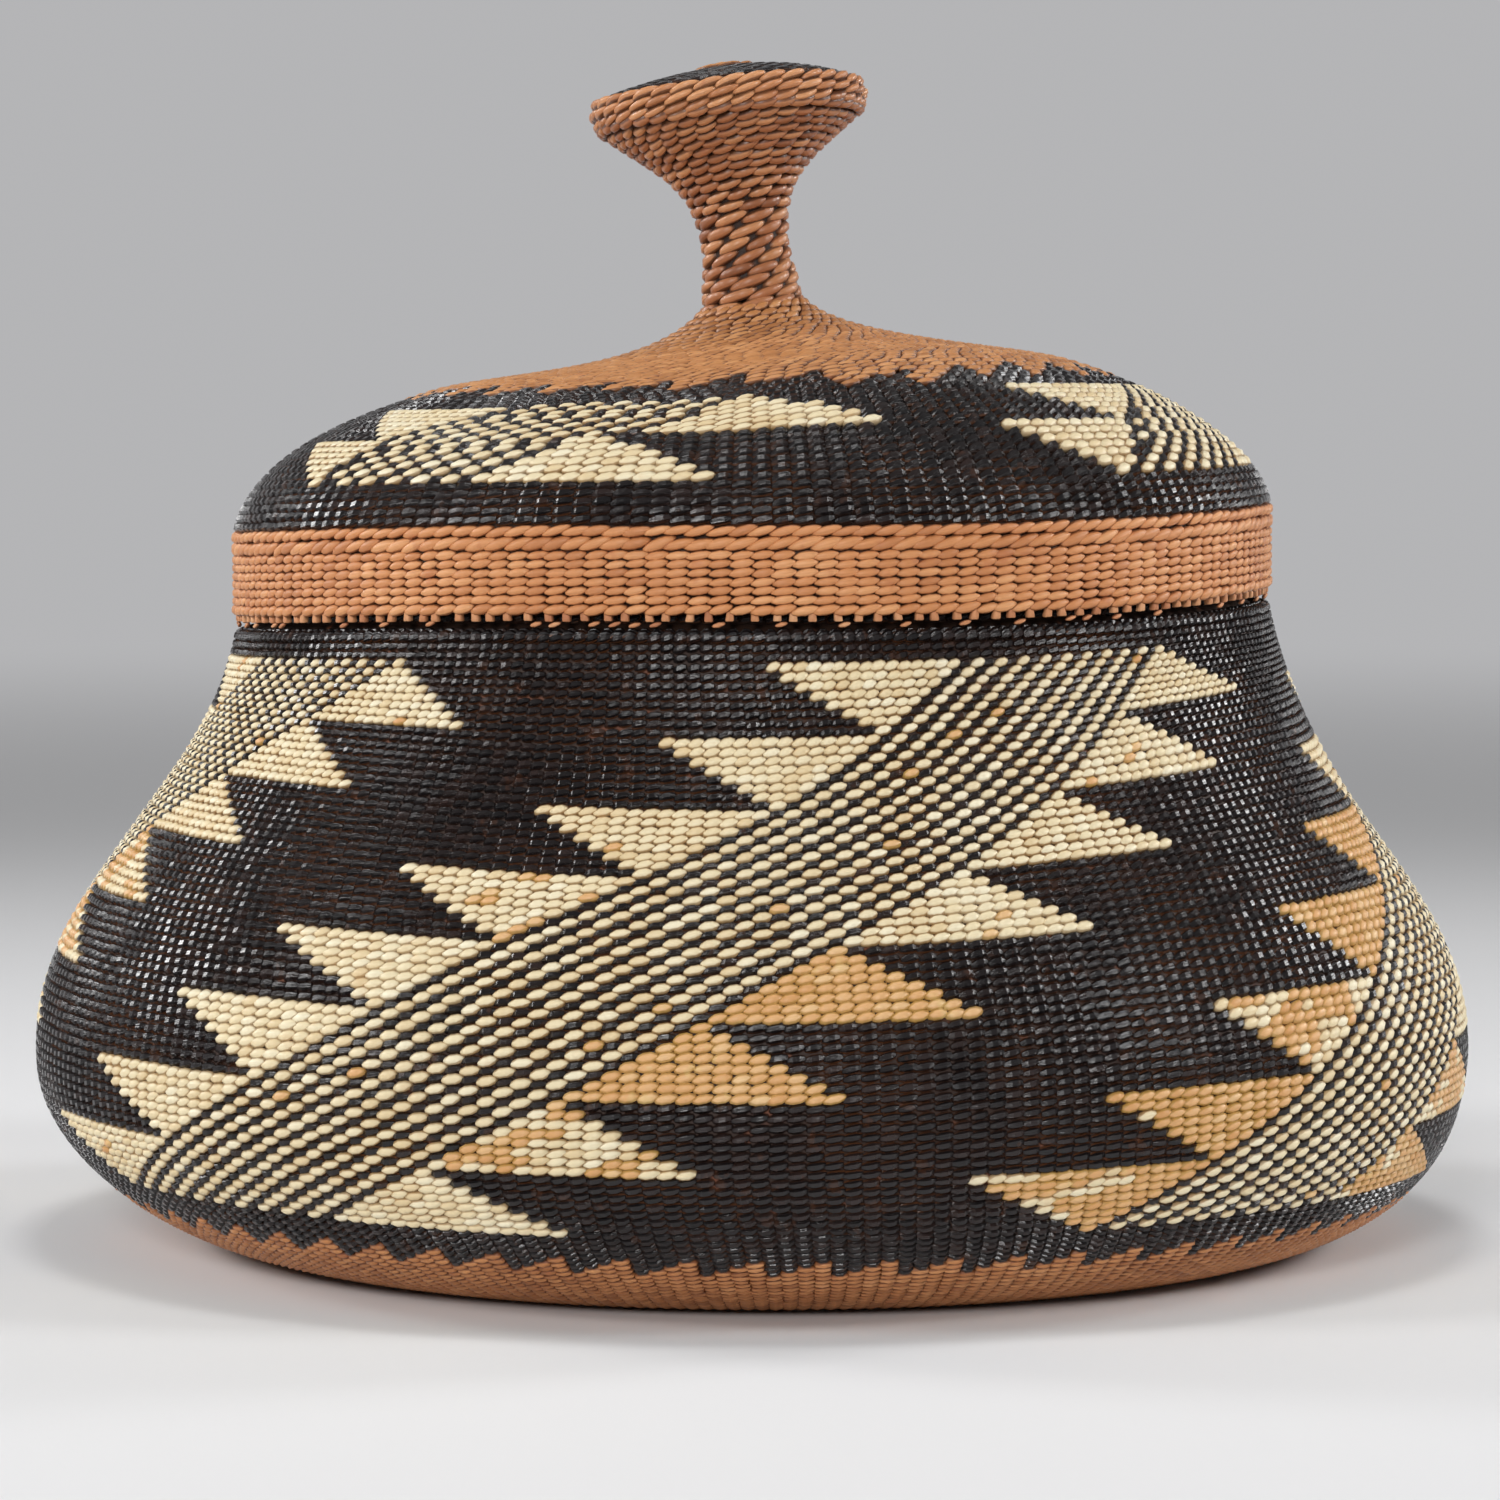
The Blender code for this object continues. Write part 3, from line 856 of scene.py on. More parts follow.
def keep_numbers(mesh: bpy.types.Mesh, name: str, values: np.ndarray) -> None:
    """Keep one number for each corner of a mesh under a name."""
    kept = mesh.attributes.new(name, "FLOAT", "POINT")
    kept.data.foreach_set("value", values.astype(np.float32).ravel())


def keep_uv(layer: bpy.types.MeshUVLoopLayer, places: np.ndarray) -> None:
    """Keep the place of each corner of each face on a map."""
    layer.data.foreach_set("uv", places.astype(np.float32).ravel())


def lay_grain(mesh: bpy.types.Mesh, flat: np.ndarray) -> None:
    """Lay the map that the grain follows.

    Args:
        mesh: The mesh.
        flat: Place of each corner on the map, in millimetres, with the grain along the first one.
    """
    keep_uv(mesh.uv_layers.new(name=STRAND_MAP), flat[loop_corners(mesh)])


@dataclass
class Piece:
    """One finished piece: its body, the solids that it stands for and its finish."""

    name: str
    body: str
    nodes: tuple[str, ...]
    finish: StrandFinish

    def finish_off(self, mesh: bpy.types.Mesh, points: np.ndarray) -> bpy.types.Object:
        """Put the mesh in place, dress it and fix it to its body.

        Args:
            mesh: Mesh of the piece.
            points: Where its corners are on the true turned shape.

        Returns:
            The finished piece.
        """
        thing = settled_object(self.name, mesh, points)
        mesh.materials.clear()
        mesh.materials.append(self.finish.material())
        if self.finish.flat_faced:
            mesh.shade_flat()
        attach(thing, self.body)
        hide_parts(*self.nodes)
        triangles = len(mesh.loops) - 2 * len(mesh.polygons)
        log.info("%s: %d faces, %d triangles", self.name, len(mesh.polygons), triangles)
        return thing


@dataclass
class StitchedPiece(Piece):
    """A piece made of separate stitches."""

    form: StitchForm
    seed: int

    def build(self, stitches: Stitches) -> bpy.types.Object:
        """Put every stitch in its place.

        Args:
            stitches: Where the stitches lie.

        Returns:
            The finished piece.
        """
        count = len(stitches)
        form = self.form
        mesh, unit, number = blank_spindles(self.name, form, count)
        rng = np.random.default_rng(self.seed)
        uneven = rng.normal(0.0, 1.0, (7, count)).clip(-MOST_UNEVEN, MOST_UNEVEN) * form.unevenness
        length = stitches.half_length * (1.0 + SIZE_VARIES * uneven[0])
        tall = stitches.half_height * (1.0 + SIZE_VARIES * uneven[1])
        deep = form.depth / 2 * (1.0 + SIZE_VARIES * uneven[2])
        slant = form.slant_share * (1.0 + SLANT_VARIES * uneven[3]) * stitches.spacing / 2
        lift = stitches.spacing * LIFT_VARIES * uneven[4]
        shift = stitches.half_length * SHIFT_VARIES * uneven[5]
        tilt = TILT_VARIES * uneven[6]
        along = unit[:, 0]
        girth = np.hypot(unit[:, 1], unit[:, 2])
        safe = np.maximum(girth, 1e-6)
        side, top = unit[:, 1] / safe, unit[:, 2] / safe
        side = side / np.abs(side).max()
        x = along * length[number] + shift[number]
        y = side * girth ** (2 * form.taper) * tall[number] + slant[number] * along + lift[number]
        z = (top * girth ** (2 * form.fall) - 1.0) * deep[number] - form.tuck * along**2
        z = z + tilt[number] * along * (1.0 - along**2)
        angle = stitches.angle[number] + x / stitches.radius[number]
        outward, upward = stitches.outward[number], stitches.upward[number]
        across = stitches.radius[number] + outward * y + upward * z
        height = stitches.height[number] + upward * y - outward * z
        points = np.stack([across * np.sin(angle), -across * np.cos(angle), height], axis=-1)
        keep_numbers(mesh, "tint", rng.beta(TINT_SHAPE, TINT_SHAPE, count)[number])
        # The edge number is highest at a spindle's sides and tips, where the edge colour paints crease shade
        # (the fern's brown edge is its own colour).
        keep_numbers(mesh, "edge", np.maximum(np.abs(side) * (girth > 1e-3), along**2))
        offset = rng.uniform(0.0, MAP_OFFSET, (count, 2))
        size = np.stack([length * 2, tall * math.pi * 1.6], axis=-1) / MM
        self.map_strands(mesh, number[loop_corners(mesh)], size, offset)
        return self.finish_off(mesh, points)

    @staticmethod
    def map_strands(mesh: bpy.types.Mesh, stitch: np.ndarray, size: np.ndarray, offset: np.ndarray) -> None:
        """Lay out one map with a place of its own for each stitch, and one in millimetres along them.

        Args:
            mesh: Mesh of the stitches.
            stitch: Number of the stitch at every corner of every face.
            size: Length and girth of each stitch in millimetres.
            offset: Where each stitch starts on the second map.
        """
        bake = mesh.uv_layers[BAKE_MAP]
        local = read(bake.data, "uv", 2)
        side = math.ceil(math.sqrt(len(size)))
        cell = np.stack([stitch % side, stitch // side], axis=-1)
        keep_uv(bake, (cell + CELL_MARGIN + (1.0 - 2 * CELL_MARGIN) * local) / side)
        keep_uv(mesh.uv_layers.new(name=STRAND_MAP), local[:, ::-1] * size[stitch] + offset[stitch])


def turned_shell(section: list[Vector], steps: int, closed: bool) -> bmesh.types.BMesh:
    """Spin a section about the axis.

    Args:
        section: Points of the section, in the plane y = 0.
        steps: Number of steps round.
        closed: Whether the last point joins the first.

    Returns:
        The turned shape, closed and with its faces pointing outwards.
    """
    shell = bmesh.new()
    corners = [shell.verts.new((0.0, -point.x, point.z)) for point in section]
    pairs = list(zip(corners, corners[1:])) + ([(corners[-1], corners[0])] if closed else [])
    edges = [shell.edges.new(pair) for pair in pairs]
    bmesh.ops.spin(
        shell,
        geom=corners + edges,
        cent=(0.0, 0.0, 0.0),
        axis=(0.0, 0.0, 1.0),
        angle=math.tau,
        steps=steps,
        use_merge=True,
    )
    bmesh.ops.remove_doubles(shell, verts=shell.verts, dist=0.001 * MM)
    bmesh.ops.recalc_face_normals(shell, faces=shell.faces)
    return shell


def faces_on(shell: bmesh.types.BMesh, line: list[Vector]) -> list[bmesh.types.BMFace]:
    """Find the four-sided faces of a turned shell whose corners all lie on one line of its section.

    Args:
        shell: The turned shell.
        line: Points of the line, in the plane of radius and height.

    Returns:
        The faces.
    """
    known = {(round(point.x / MM, 2), round(point.z / MM, 2)) for point in line}
    on_line = set()
    for corner in shell.verts:
        radius = round(math.hypot(corner.co.x, corner.co.y) / MM, 2)
        if (radius, round(corner.co.z / MM, 2)) in known:
            on_line.add(corner)
    return [face for face in shell.faces if len(face.verts) == 4 and all(c in on_line for c in face.verts)]


def upright_line(radius: float, heights: list[float]) -> list[Vector]:
    """Points of a section at one radius and several heights."""
    return [Vector((radius, 0.0, height)) for height in heights]


@dataclass
class BackedPiece(Piece):
    """The inner face of the weave with the core that its stitches stand on; the core and the hollows of the
    inner face are painted dark as shade.
    """

    relief: float = 0.28 * MM
    seed: int = 5

    def build(
        self, outer: list[Vector], inner: list[Vector], steps: int, closed: bool = True
    ) -> bpy.types.Object:
        """Turn the section, raise every cell of its inner face to one stitch and finish the piece.

        Args:
            outer: The part of the section that isn't seen as weave.
            inner: The part that is, from the same end as the outer part.
            steps: Number of steps round.
            closed: Whether the section is closed. Otherwise the inner part comes first.

        Returns:
            The finished piece.
        """
        shell = turned_shell(outer + inner[::-1] if closed else inner + outer, steps, closed)
        seen = faces_on(shell, inner)
        low = {corner for face in seen for corner in face.verts}
        raised = bmesh.ops.poke(shell, faces=seen, offset=self.relief)
        bmesh.ops.triangulate(shell, faces=[face for face in shell.faces if len(face.verts) > 4])
        shell.verts.index_update()
        crests = [corner.index for corner in raised["verts"]]
        hollows = [corner.index for corner in low if corner.is_valid]
        mesh = as_mesh(shell, self.name)
        rng = np.random.default_rng(self.seed)
        # The crests of the cells keep the strand colour. The hollows between them, and the core that shows
        # through the gaps between the stitches, take the finish's dark edge colour: painted shade.
        edge = np.full(len(mesh.vertices), 1.0)
        edge[crests] = 0.0
        edge[hollows] = HOLLOW_SHADE_EDGE
        keep_numbers(mesh, "edge", edge)
        keep_numbers(mesh, "tint", rng.beta(TINT_SHAPE, TINT_SHAPE, len(mesh.vertices)))
        points = corner_points(mesh)
        across = np.hypot(points[:, 0], points[:, 1])
        lay_grain(mesh, np.stack([turn_of(points) * MAP_RADIUS, (points[:, 2] + across) / MM], axis=-1))
        return self.finish_off(mesh, points)


@dataclass
class WallPattern:
    """Sloping bands of small checks between rows of triangles, as woven round the wall.

    Courses are counted down from the top one of the pattern, and columns rightwards from the front.
    """

    sticks: int = 272
    courses: int = 64
    tier: int = 8
    band_start: int = 16
    band_width: int = 19
    widest: int = 15
    repeats: tuple[int, ...] = (0, 65, 136, 207)
    border_courses: int = 4
    tooth: int = 4
    scattered: float = 0.13
    seed: int = 11
    tan_triangles: dict[tuple[int, str, int], float] = field(
        default_factory=lambda: {
            (0, "right", 3): 0.22, (0, "right", 4): 0.95, (0, "right", 5): 0.93, (0, "right", 6): 0.42,
            (0, "right", 2): 0.10, (0, "right", 7): 0.12, (0, "left", 3): 0.34, (0, "left", 2): 0.12,
            (0, "left", 6): 0.16, (0, "left", 7): 0.20, (1, "left", 3): 0.85, (1, "left", 4): 0.95,
            (1, "left", 5): 0.50, (1, "left", 6): 0.82, (1, "left", 7): 0.60, (1, "right", 7): 0.80,
            (1, "right", 6): 0.60, (3, "right", 3): 0.45, (3, "right", 4): 0.55, (0, "right", 0): 0.06,
            (2, "left", 2): 0.6, (2, "right", 5): 0.8, (3, "left", 5): 0.6, (2, "left", 6): 0.5,
        }
    )

    def strands(self, column: np.ndarray, course: int) -> np.ndarray:
        """Choose the strand of each stitch in a course.

        Args:
            column: Columns of the stitches.
            course: Number of the course, which may be above or below the pattern.

        Returns:
            One strand for each stitch.
        """
        rng = np.random.default_rng(self.seed * 1000 + course + 50)
        chance = 0.35 * rng.random(len(column)) + 0.65 * self.patches(column, course)
        found = np.full(len(column), int(Strand.FERN))
        if course < 0:
            return found
        if course >= self.courses:
            return self.border(column, course, found)
        tier, row = divmod(course, self.tier)
        for repeat, shift in enumerate(self.repeats):
            place = (column + course - self.band_start - shift) % self.sticks
            band = (place < self.band_width) & (place % 2 == 1)
            self.paint(found, band, chance, 0.24 if repeat == 1 and tier < 2 else self.scattered)
            left = self.sticks - place <= self.widest - 2 * row
            self.paint(found, left, chance, self.tan_triangles.get((repeat, "left", tier), self.scattered))
            right = (place >= self.band_width) & (place - self.band_width <= 2 * row)
            self.paint(found, right, chance, self.tan_triangles.get((repeat, "right", tier), self.scattered))
        return found

    def patches(self, column: np.ndarray, course: int) -> np.ndarray:
        """Numbers from 0 to 1 that change slowly over the wall, so that tan grass lies in patches.

        Args:
            column: Columns of the stitches.
            course: Number of the course.

        Returns:
            One number for each stitch.
        """
        turn = column * math.tau / self.sticks
        waves = np.sin(31 * turn + 0.9 * course) + np.sin(47 * turn - 0.55 * course + 1.3)
        waves = waves + np.sin(19 * turn + 0.31 * course + 2.6)
        return 0.5 + waves / 6.0

    def paint(self, found: np.ndarray, where: np.ndarray, chance: np.ndarray, tan: float) -> None:
        """Lay grass over some stitches.

        Args:
            found: Strands of the course, which are changed.
            where: True for each stitch that takes grass.
            chance: A random number for each stitch.
            tan: Share of the stitches whose grass is tan.
        """
        found[where] = np.where(chance[where] < tan, int(Strand.TAN), int(Strand.GRASS))

    def border(self, column: np.ndarray, course: int, found: np.ndarray) -> np.ndarray:
        """Choose strands under the pattern, where root rises into the black in saw teeth.

        Args:
            column: Columns of the stitches.
            course: Number of the course.
            found: Strands of the course, which are changed.

        Returns:
            The strands.
        """
        depth = course - self.courses - self.border_courses
        if depth < 0:
            return found
        reach = self.tooth - (column - 2) % self.tooth
        found[depth >= reach - 1] = int(Strand.ROOT)
        return found


def hill(place: np.ndarray, middle: float, run: float) -> np.ndarray:
    """Height from 0 to 1 of a smooth hill at some places."""
    return np.exp(-(((place - middle) / run) ** 2))


@dataclass(frozen=True)
class StrandLook:
    """How the stitches of one strand look, and how much longer and taller than their places they are."""

    finish: StrandFinish
    form: StitchForm
    longer: float = 1.0
    taller: float = 1.0


def build_belts(
    laid: Stitches,
    body: str,
    belts: list[tuple[str, str, np.ndarray]],
    looks: dict[Strand, StrandLook],
    seed: Callable[[str, str, int], int],
) -> None:
    """Build one piece for each strand of each belt.

    Args:
        laid: All the stitches.
        body: Body that they ride on.
        belts: Name and solid of each belt, and which stitches are in it.
        looks: Look of each strand.
        seed: Gives the seed for a belt, a piece and the number of a strand.
    """
    for belt, node, where in belts:
        for strand, look in looks.items():
            chosen = laid.pick(where & (laid.strand == int(strand)))
            if not len(chosen):
                continue
            chosen.half_length = chosen.half_length * look.longer
            chosen.half_height = chosen.half_height * look.taller
            name = f"{belt}_{strand.name.lower()}_stitches"
            piece = StitchedPiece(name, body, (node,), look.finish, look.form, seed(belt, name, int(strand)))
            piece.build(chosen)


@dataclass
class BasketWall:
    """The wall of the basket: its outside, stitch by stitch, and its inside."""

    pattern: WallPattern = field(default_factory=WallPattern)
    form: StitchForm = field(default_factory=StitchForm)
    top_course: float = 89.3 * MM
    course_spacing: float = 1.057 * MM
    lower_spacing: float = 0.955 * MM
    lower_courses: int = 23
    upper_courses: int = 5
    wall: float = 2.2 * MM
    core_depth: float = 0.75 * MM
    neck_height: float = 67.5 * MM
    border_height: float = 11.0 * MM
    plain_height: float = 5.2 * MM
    middle_course: int = 22
    belly_course: int = 43

    def courses(self) -> list[tuple[int, float, float]]:
        """Number, place on the outline and spacing of each course, from the top down.

        Returns:
            One entry for each course.
        """
        places = []
        last = self.pattern.courses - 1
        for number in range(-self.upper_courses, self.pattern.courses):
            places.append((number, self.top_course - number * self.course_spacing, self.course_spacing))
        bottom = self.top_course - last * self.course_spacing
        for step in range(1, self.lower_courses + 1):
            places.append((last + step, bottom - step * self.lower_spacing, self.lower_spacing))
        return places

    @staticmethod
    def rise(length: float, angle: np.ndarray) -> np.ndarray:
        """How far a course runs above its level round the basket.

        The courses climb on both sides of the upper wall, more on the right, and dip at the belly.

        Args:
            length: Where the course is on the outline.
            angle: Angles of its stitches.

        Returns:
            The rise at each stitch.
        """
        place = np.array(length)
        side = 1.0 - np.exp(-4.0 * (1.0 - np.cos(angle)))
        climb = 0.5 + 3.2 * ease(place, 36 * MM, 68 * MM)
        tilt = 1.35 * ease(place, 40 * MM, 60 * MM) - 0.25
        dip = 0.15 + 0.5 * hill(place, 38 * MM, 12 * MM)
        kept = ease(place, 14 * MM, 22 * MM) * (1.0 - ease(place, 76 * MM, 94 * MM))
        return kept * (climb * side + tilt * np.sin(angle) - dip) * MM

    @staticmethod
    def drift(length: float, angle: np.ndarray) -> tuple[np.ndarray, np.ndarray]:
        """How far the sticks have turned from their true places.

        Args:
            length: Where the course is on the outline.
            angle: True angles of the sticks.

        Returns:
            The turn of each stick, and how much wider than usual its spacing is.
        """
        place = np.array(length)
        turned = 2.5 - ease(place, 42 * MM, 60 * MM) - 1.5 * ease(place, 74 * MM, 92 * MM)
        spread = 3.8 * ease(place, 42 * MM, 64 * MM) * (1.0 - ease(place, 76 * MM, 92 * MM))
        return np.radians(turned + spread * np.sin(angle)), 1.0 + np.radians(spread) * np.cos(angle)

    def weave(self) -> Stitches:
        """Lay all the courses of the outside.

        Returns:
            The stitches.
        """
        loom = Loom(self.form)
        for number, length, spacing in self.courses():
            laid = loom.lay_risen(WALL_FACE, self.rise, length, spacing, self.pattern.sticks, course=number)
            laid.strand = self.pattern.strands(laid.column, number)
            turned, wider = self.drift(length, laid.angle)
            laid.angle = laid.angle + turned
            laid.half_length = laid.half_length * wider
        return loom.laid

    def build(self) -> None:
        """Build the outside in belts, one piece for each strand, and the inside."""
        laid = self.weave()
        heights = (self.neck_height, self.border_height, self.plain_height)
        neck, border, plain = (BODY.length_at_height(height) for height in heights)
        places = {number: length for number, length, _ in self.courses()}
        length = np.array([places[number] for number in laid.course])
        upper, lower = laid.course < self.middle_course, laid.course >= self.belly_course
        belts = [
            ("neck", "neck_weave", length >= neck),
            ("upper_wall", "patterned_wall_weave", (length < neck) & upper),
            ("middle_wall", "patterned_wall_weave", ~upper & ~lower),
            ("belly", "patterned_wall_weave", lower & (length >= border)),
            ("border", "dark_border_weave", (length < border) & (length >= plain)),
            ("lower_wall", "lower_wall_weave", length < plain),
        ]
        plump = StitchForm(depth=1.3 * MM, slant_share=0.44, taper=0.55, fall=0.42, along=5)
        looks = {
            Strand.FERN: StrandLook(FERN, FOLDED, 0.97, 0.96),
            Strand.GRASS: StrandLook(GRASS, plump, 1.07, 1.04),
            Strand.TAN: StrandLook(TAN, plump, 1.03, 1.02),
            Strand.ROOT: StrandLook(WALL_ROOT, self.form),
        }
        build_belts(laid, "basket", belts, looks, lambda belt, name, strand: len(name) + strand * 7)
        outer = BODY.offset(0.6 * MM, BODY.total, self.core_depth, 26)
        inner = BODY.offset(2.4 * MM, BODY.total, self.wall - BACK_GAP, 56)
        nodes = ("patterned_wall_weave", "neck_weave", "dark_border_weave", "lower_wall_weave")
        inside = BackedPiece("wall_inside", "basket", nodes, INSIDE_ROOT)
        inside.build(outer, inner, self.pattern.sticks)


@dataclass
class BasketBase:
    """The flat base: the start where the sticks cross, the weave round it and the floor inside."""

    radius: float = 62.0 * MM
    start_radius: float = 11.0 * MM
    spacing: float = 1.06 * MM
    stick_spacing: float = 2.0 * MM
    start_sticks: int = 8
    floor_rows: int = 56
    floor_steps: int = 136

    def build(self) -> None:
        """Build the underside, its middle and the floor."""
        form = StitchForm(height_share=1.12, depth=0.8 * MM, along=3)
        loom = Loom(form)
        radius = self.radius - self.spacing * 0.5
        few = self.start_sticks
        while radius > self.spacing:
            sticks = max(few, int(round(math.tau * radius / self.stick_spacing / few)) * few)
            course = len(loom.courses)
            loom.lay((radius, 0.0, 1.0, 0.0), self.spacing, sticks, 0.37 * course, course)
            radius -= self.spacing
        laid = loom.laid
        middle = laid.radius < self.start_radius
        around = StitchedPiece("base_stitches", "basket", ("base_weave",), WALL_ROOT, form, 31)
        around.build(laid.pick(~middle))
        start = StitchedPiece("base_start_stitches", "basket", ("base_start",), WALL_ROOT, form, 32)
        start.build(laid.pick(middle))
        self.build_floor()

    def build_floor(self) -> None:
        """Build the core of the base with the floor inside the basket."""
        low, high = 0.55 * MM, 2.2 * MM - BACK_GAP
        edge = self.radius + 0.5 * MM
        rows = self.floor_rows
        floor = [Vector((edge * step / rows, 0.0, high)) for step in range(rows + 1)]
        under = [Vector((edge, 0.0, low)), Vector((0.0, 0.0, low))]
        nodes = ("base_weave", "base_start")
        piece = BackedPiece("base_floor", "basket", nodes, INSIDE_ROOT, relief=0.25 * MM)
        piece.build(under, floor, self.floor_steps, closed=False)


@dataclass
class StickEnds(Piece):
    """A ring of trimmed stick ends between two heights."""

    radius: float
    low: float
    high: float
    count: int
    width: float
    depth: float
    flare: float = 0.0
    seed: int = 61

    def build(self) -> bpy.types.Object:
        """Build the ring, with every stick a little different.

        Returns:
            The finished piece.
        """
        middle = (self.low + self.high) / 2
        ring = bmesh.new()
        ring.loops.layers.uv.new(BAKE_MAP)
        bmesh.ops.create_cube(ring, size=1.0, calc_uvs=True)
        foot = [corner for corner in ring.verts if corner.co.z < 0]
        bmesh.ops.scale(ring, verts=foot, vec=(1.0 + self.flare, 1.0, 1.0))
        bmesh.ops.scale(ring, verts=ring.verts, vec=(self.width, self.depth, self.high - self.low))
        bevel(ring, ring.edges[:], self.width * 0.16, 1)
        bmesh.ops.translate(ring, verts=ring.verts, vec=(0.0, -self.radius, middle))
        copy_round(ring, whole(ring), self.count, self.count)
        mesh = as_mesh(ring, self.name)
        rng = np.random.default_rng(self.seed)
        points = corner_points(mesh)
        angle = turn_of(points)
        number = np.round(angle / math.tau * self.count).astype(int) % self.count
        shorter = rng.normal(0.0, STICK_VARIES, self.count).clip(-MOST_SHORTER, 0.0)[number]
        points[:, 2] = middle + (points[:, 2] - middle) * (1.0 + shorter)
        swing = rng.normal(0.0, STICK_VARIES * math.tau / self.count, self.count)[number]
        lean = rng.normal(0.0, STICK_VARIES, self.count)[number] * (points[:, 2] - middle) / self.radius
        across = np.hypot(points[:, 0], points[:, 1])
        turned = angle + swing + lean
        points[:, 0], points[:, 1] = across * np.sin(turned), -across * np.cos(turned)
        keep_numbers(mesh, "tint", rng.beta(2.0, 2.0, self.count)[number])
        keep_numbers(mesh, "edge", np.full(len(points), STICK_EDGE))
        lay_grain(mesh, np.stack([points[:, 2], turned * self.radius], axis=-1) / MM)
        return self.finish_off(mesh, points)


def bevel(shape: bmesh.types.BMesh, edges: list[bmesh.types.BMEdge], width: float, segments: int) -> None:
    """Round some edges of a shape."""
    bmesh.ops.bevel(
        shape, geom=edges, offset=width, affect="EDGES", segments=segments, profile=0.5, material=-1
    )


@dataclass
class Collar:
    """The collar inside the lid: plain courses, a thick last course and the trimmed stick ends."""

    radius: float = 59.3 * MM
    foot: float = 74.75 * MM
    wall: float = 2.2 * MM
    spacing: float = 1.057 * MM
    sticks: int = 272
    course_height: float = 1.2 * MM
    tip_height: float = 0.7 * MM
    tip_inset: float = 0.3 * MM
    lid_wall: float = 2.0 * MM
    seat_drop: float = 0.5 * MM
    dark_courses: int = 2

    @property
    def tip_top(self) -> float:
        """Height of the stick ends, just under the dome that rests on them."""
        radius, height, outward, upward = DOME.at(np.linspace(0.0, DOME.total, 241))
        inner = radius - upward * self.lid_wall
        under = height + outward * self.lid_wall
        first = int(np.argmax(inner <= self.radius - self.tip_inset))
        return float(under[first]) - self.seat_drop

    def build(self) -> None:
        """Build the plain courses, the last course, the stick ends and the inside."""
        top = self.tip_top
        course_top = top - 2 * self.tip_height
        course_bottom = course_top - self.course_height
        form = StitchForm(along=3)
        loom = Loom(form)
        count = int((course_bottom - self.foot) / self.spacing)
        spacing = (course_bottom - self.foot) / count
        for number in range(count):
            height = self.foot + (number + 0.5) * spacing
            loom.lay((self.radius, height, 0.0, 1.0), spacing, self.sticks, course=number)
        laid = loom.laid
        dark = laid.course < self.dark_courses
        thick = StitchForm(length_share=1.7, height_share=0.95, depth=1.1 * MM, slant_share=0.7, along=6)
        last = Loom(thick)
        middle = (course_bottom + course_top) / 2
        last.lay((self.radius, middle, 0.0, 1.0), self.course_height, self.sticks // 2)
        for name, node, finish, shape, seed, stitches in (
            ("collar_dark_stitches", "collar_weave", FERN, form, 40, laid.pick(dark)),
            ("collar_stitches", "collar_weave", WALL_ROOT, form, 41, laid.pick(~dark)),
            ("collar_edge_stitches", "collar_edge_course", BAND_ROOT, thick, 42, last.laid),
        ):
            StitchedPiece(name, "basket", (node,), finish, shape, seed).build(stitches)
        StickEnds(
            "collar_tips", "basket", ("collar_stick_ends",), STICK, radius=self.radius - self.wall / 2,
            low=course_top - 0.3 * MM, high=top, count=self.sticks // 2, width=0.95 * MM, depth=1.1 * MM,
        ).build()
        foot = self.foot - BACK_GAP
        rows = count + 1
        heights = [foot + step * (course_top - self.foot + BACK_GAP) / rows for step in range(rows + 1)]
        outer = upright_line(self.radius - 0.75 * MM, [foot, course_top])
        inner = upright_line(self.radius - self.wall + BACK_GAP, heights)
        nodes = ("collar_weave", "collar_edge_course")
        BackedPiece("collar_inside", "basket", nodes, INSIDE_ROOT).build(outer, inner, self.sticks)


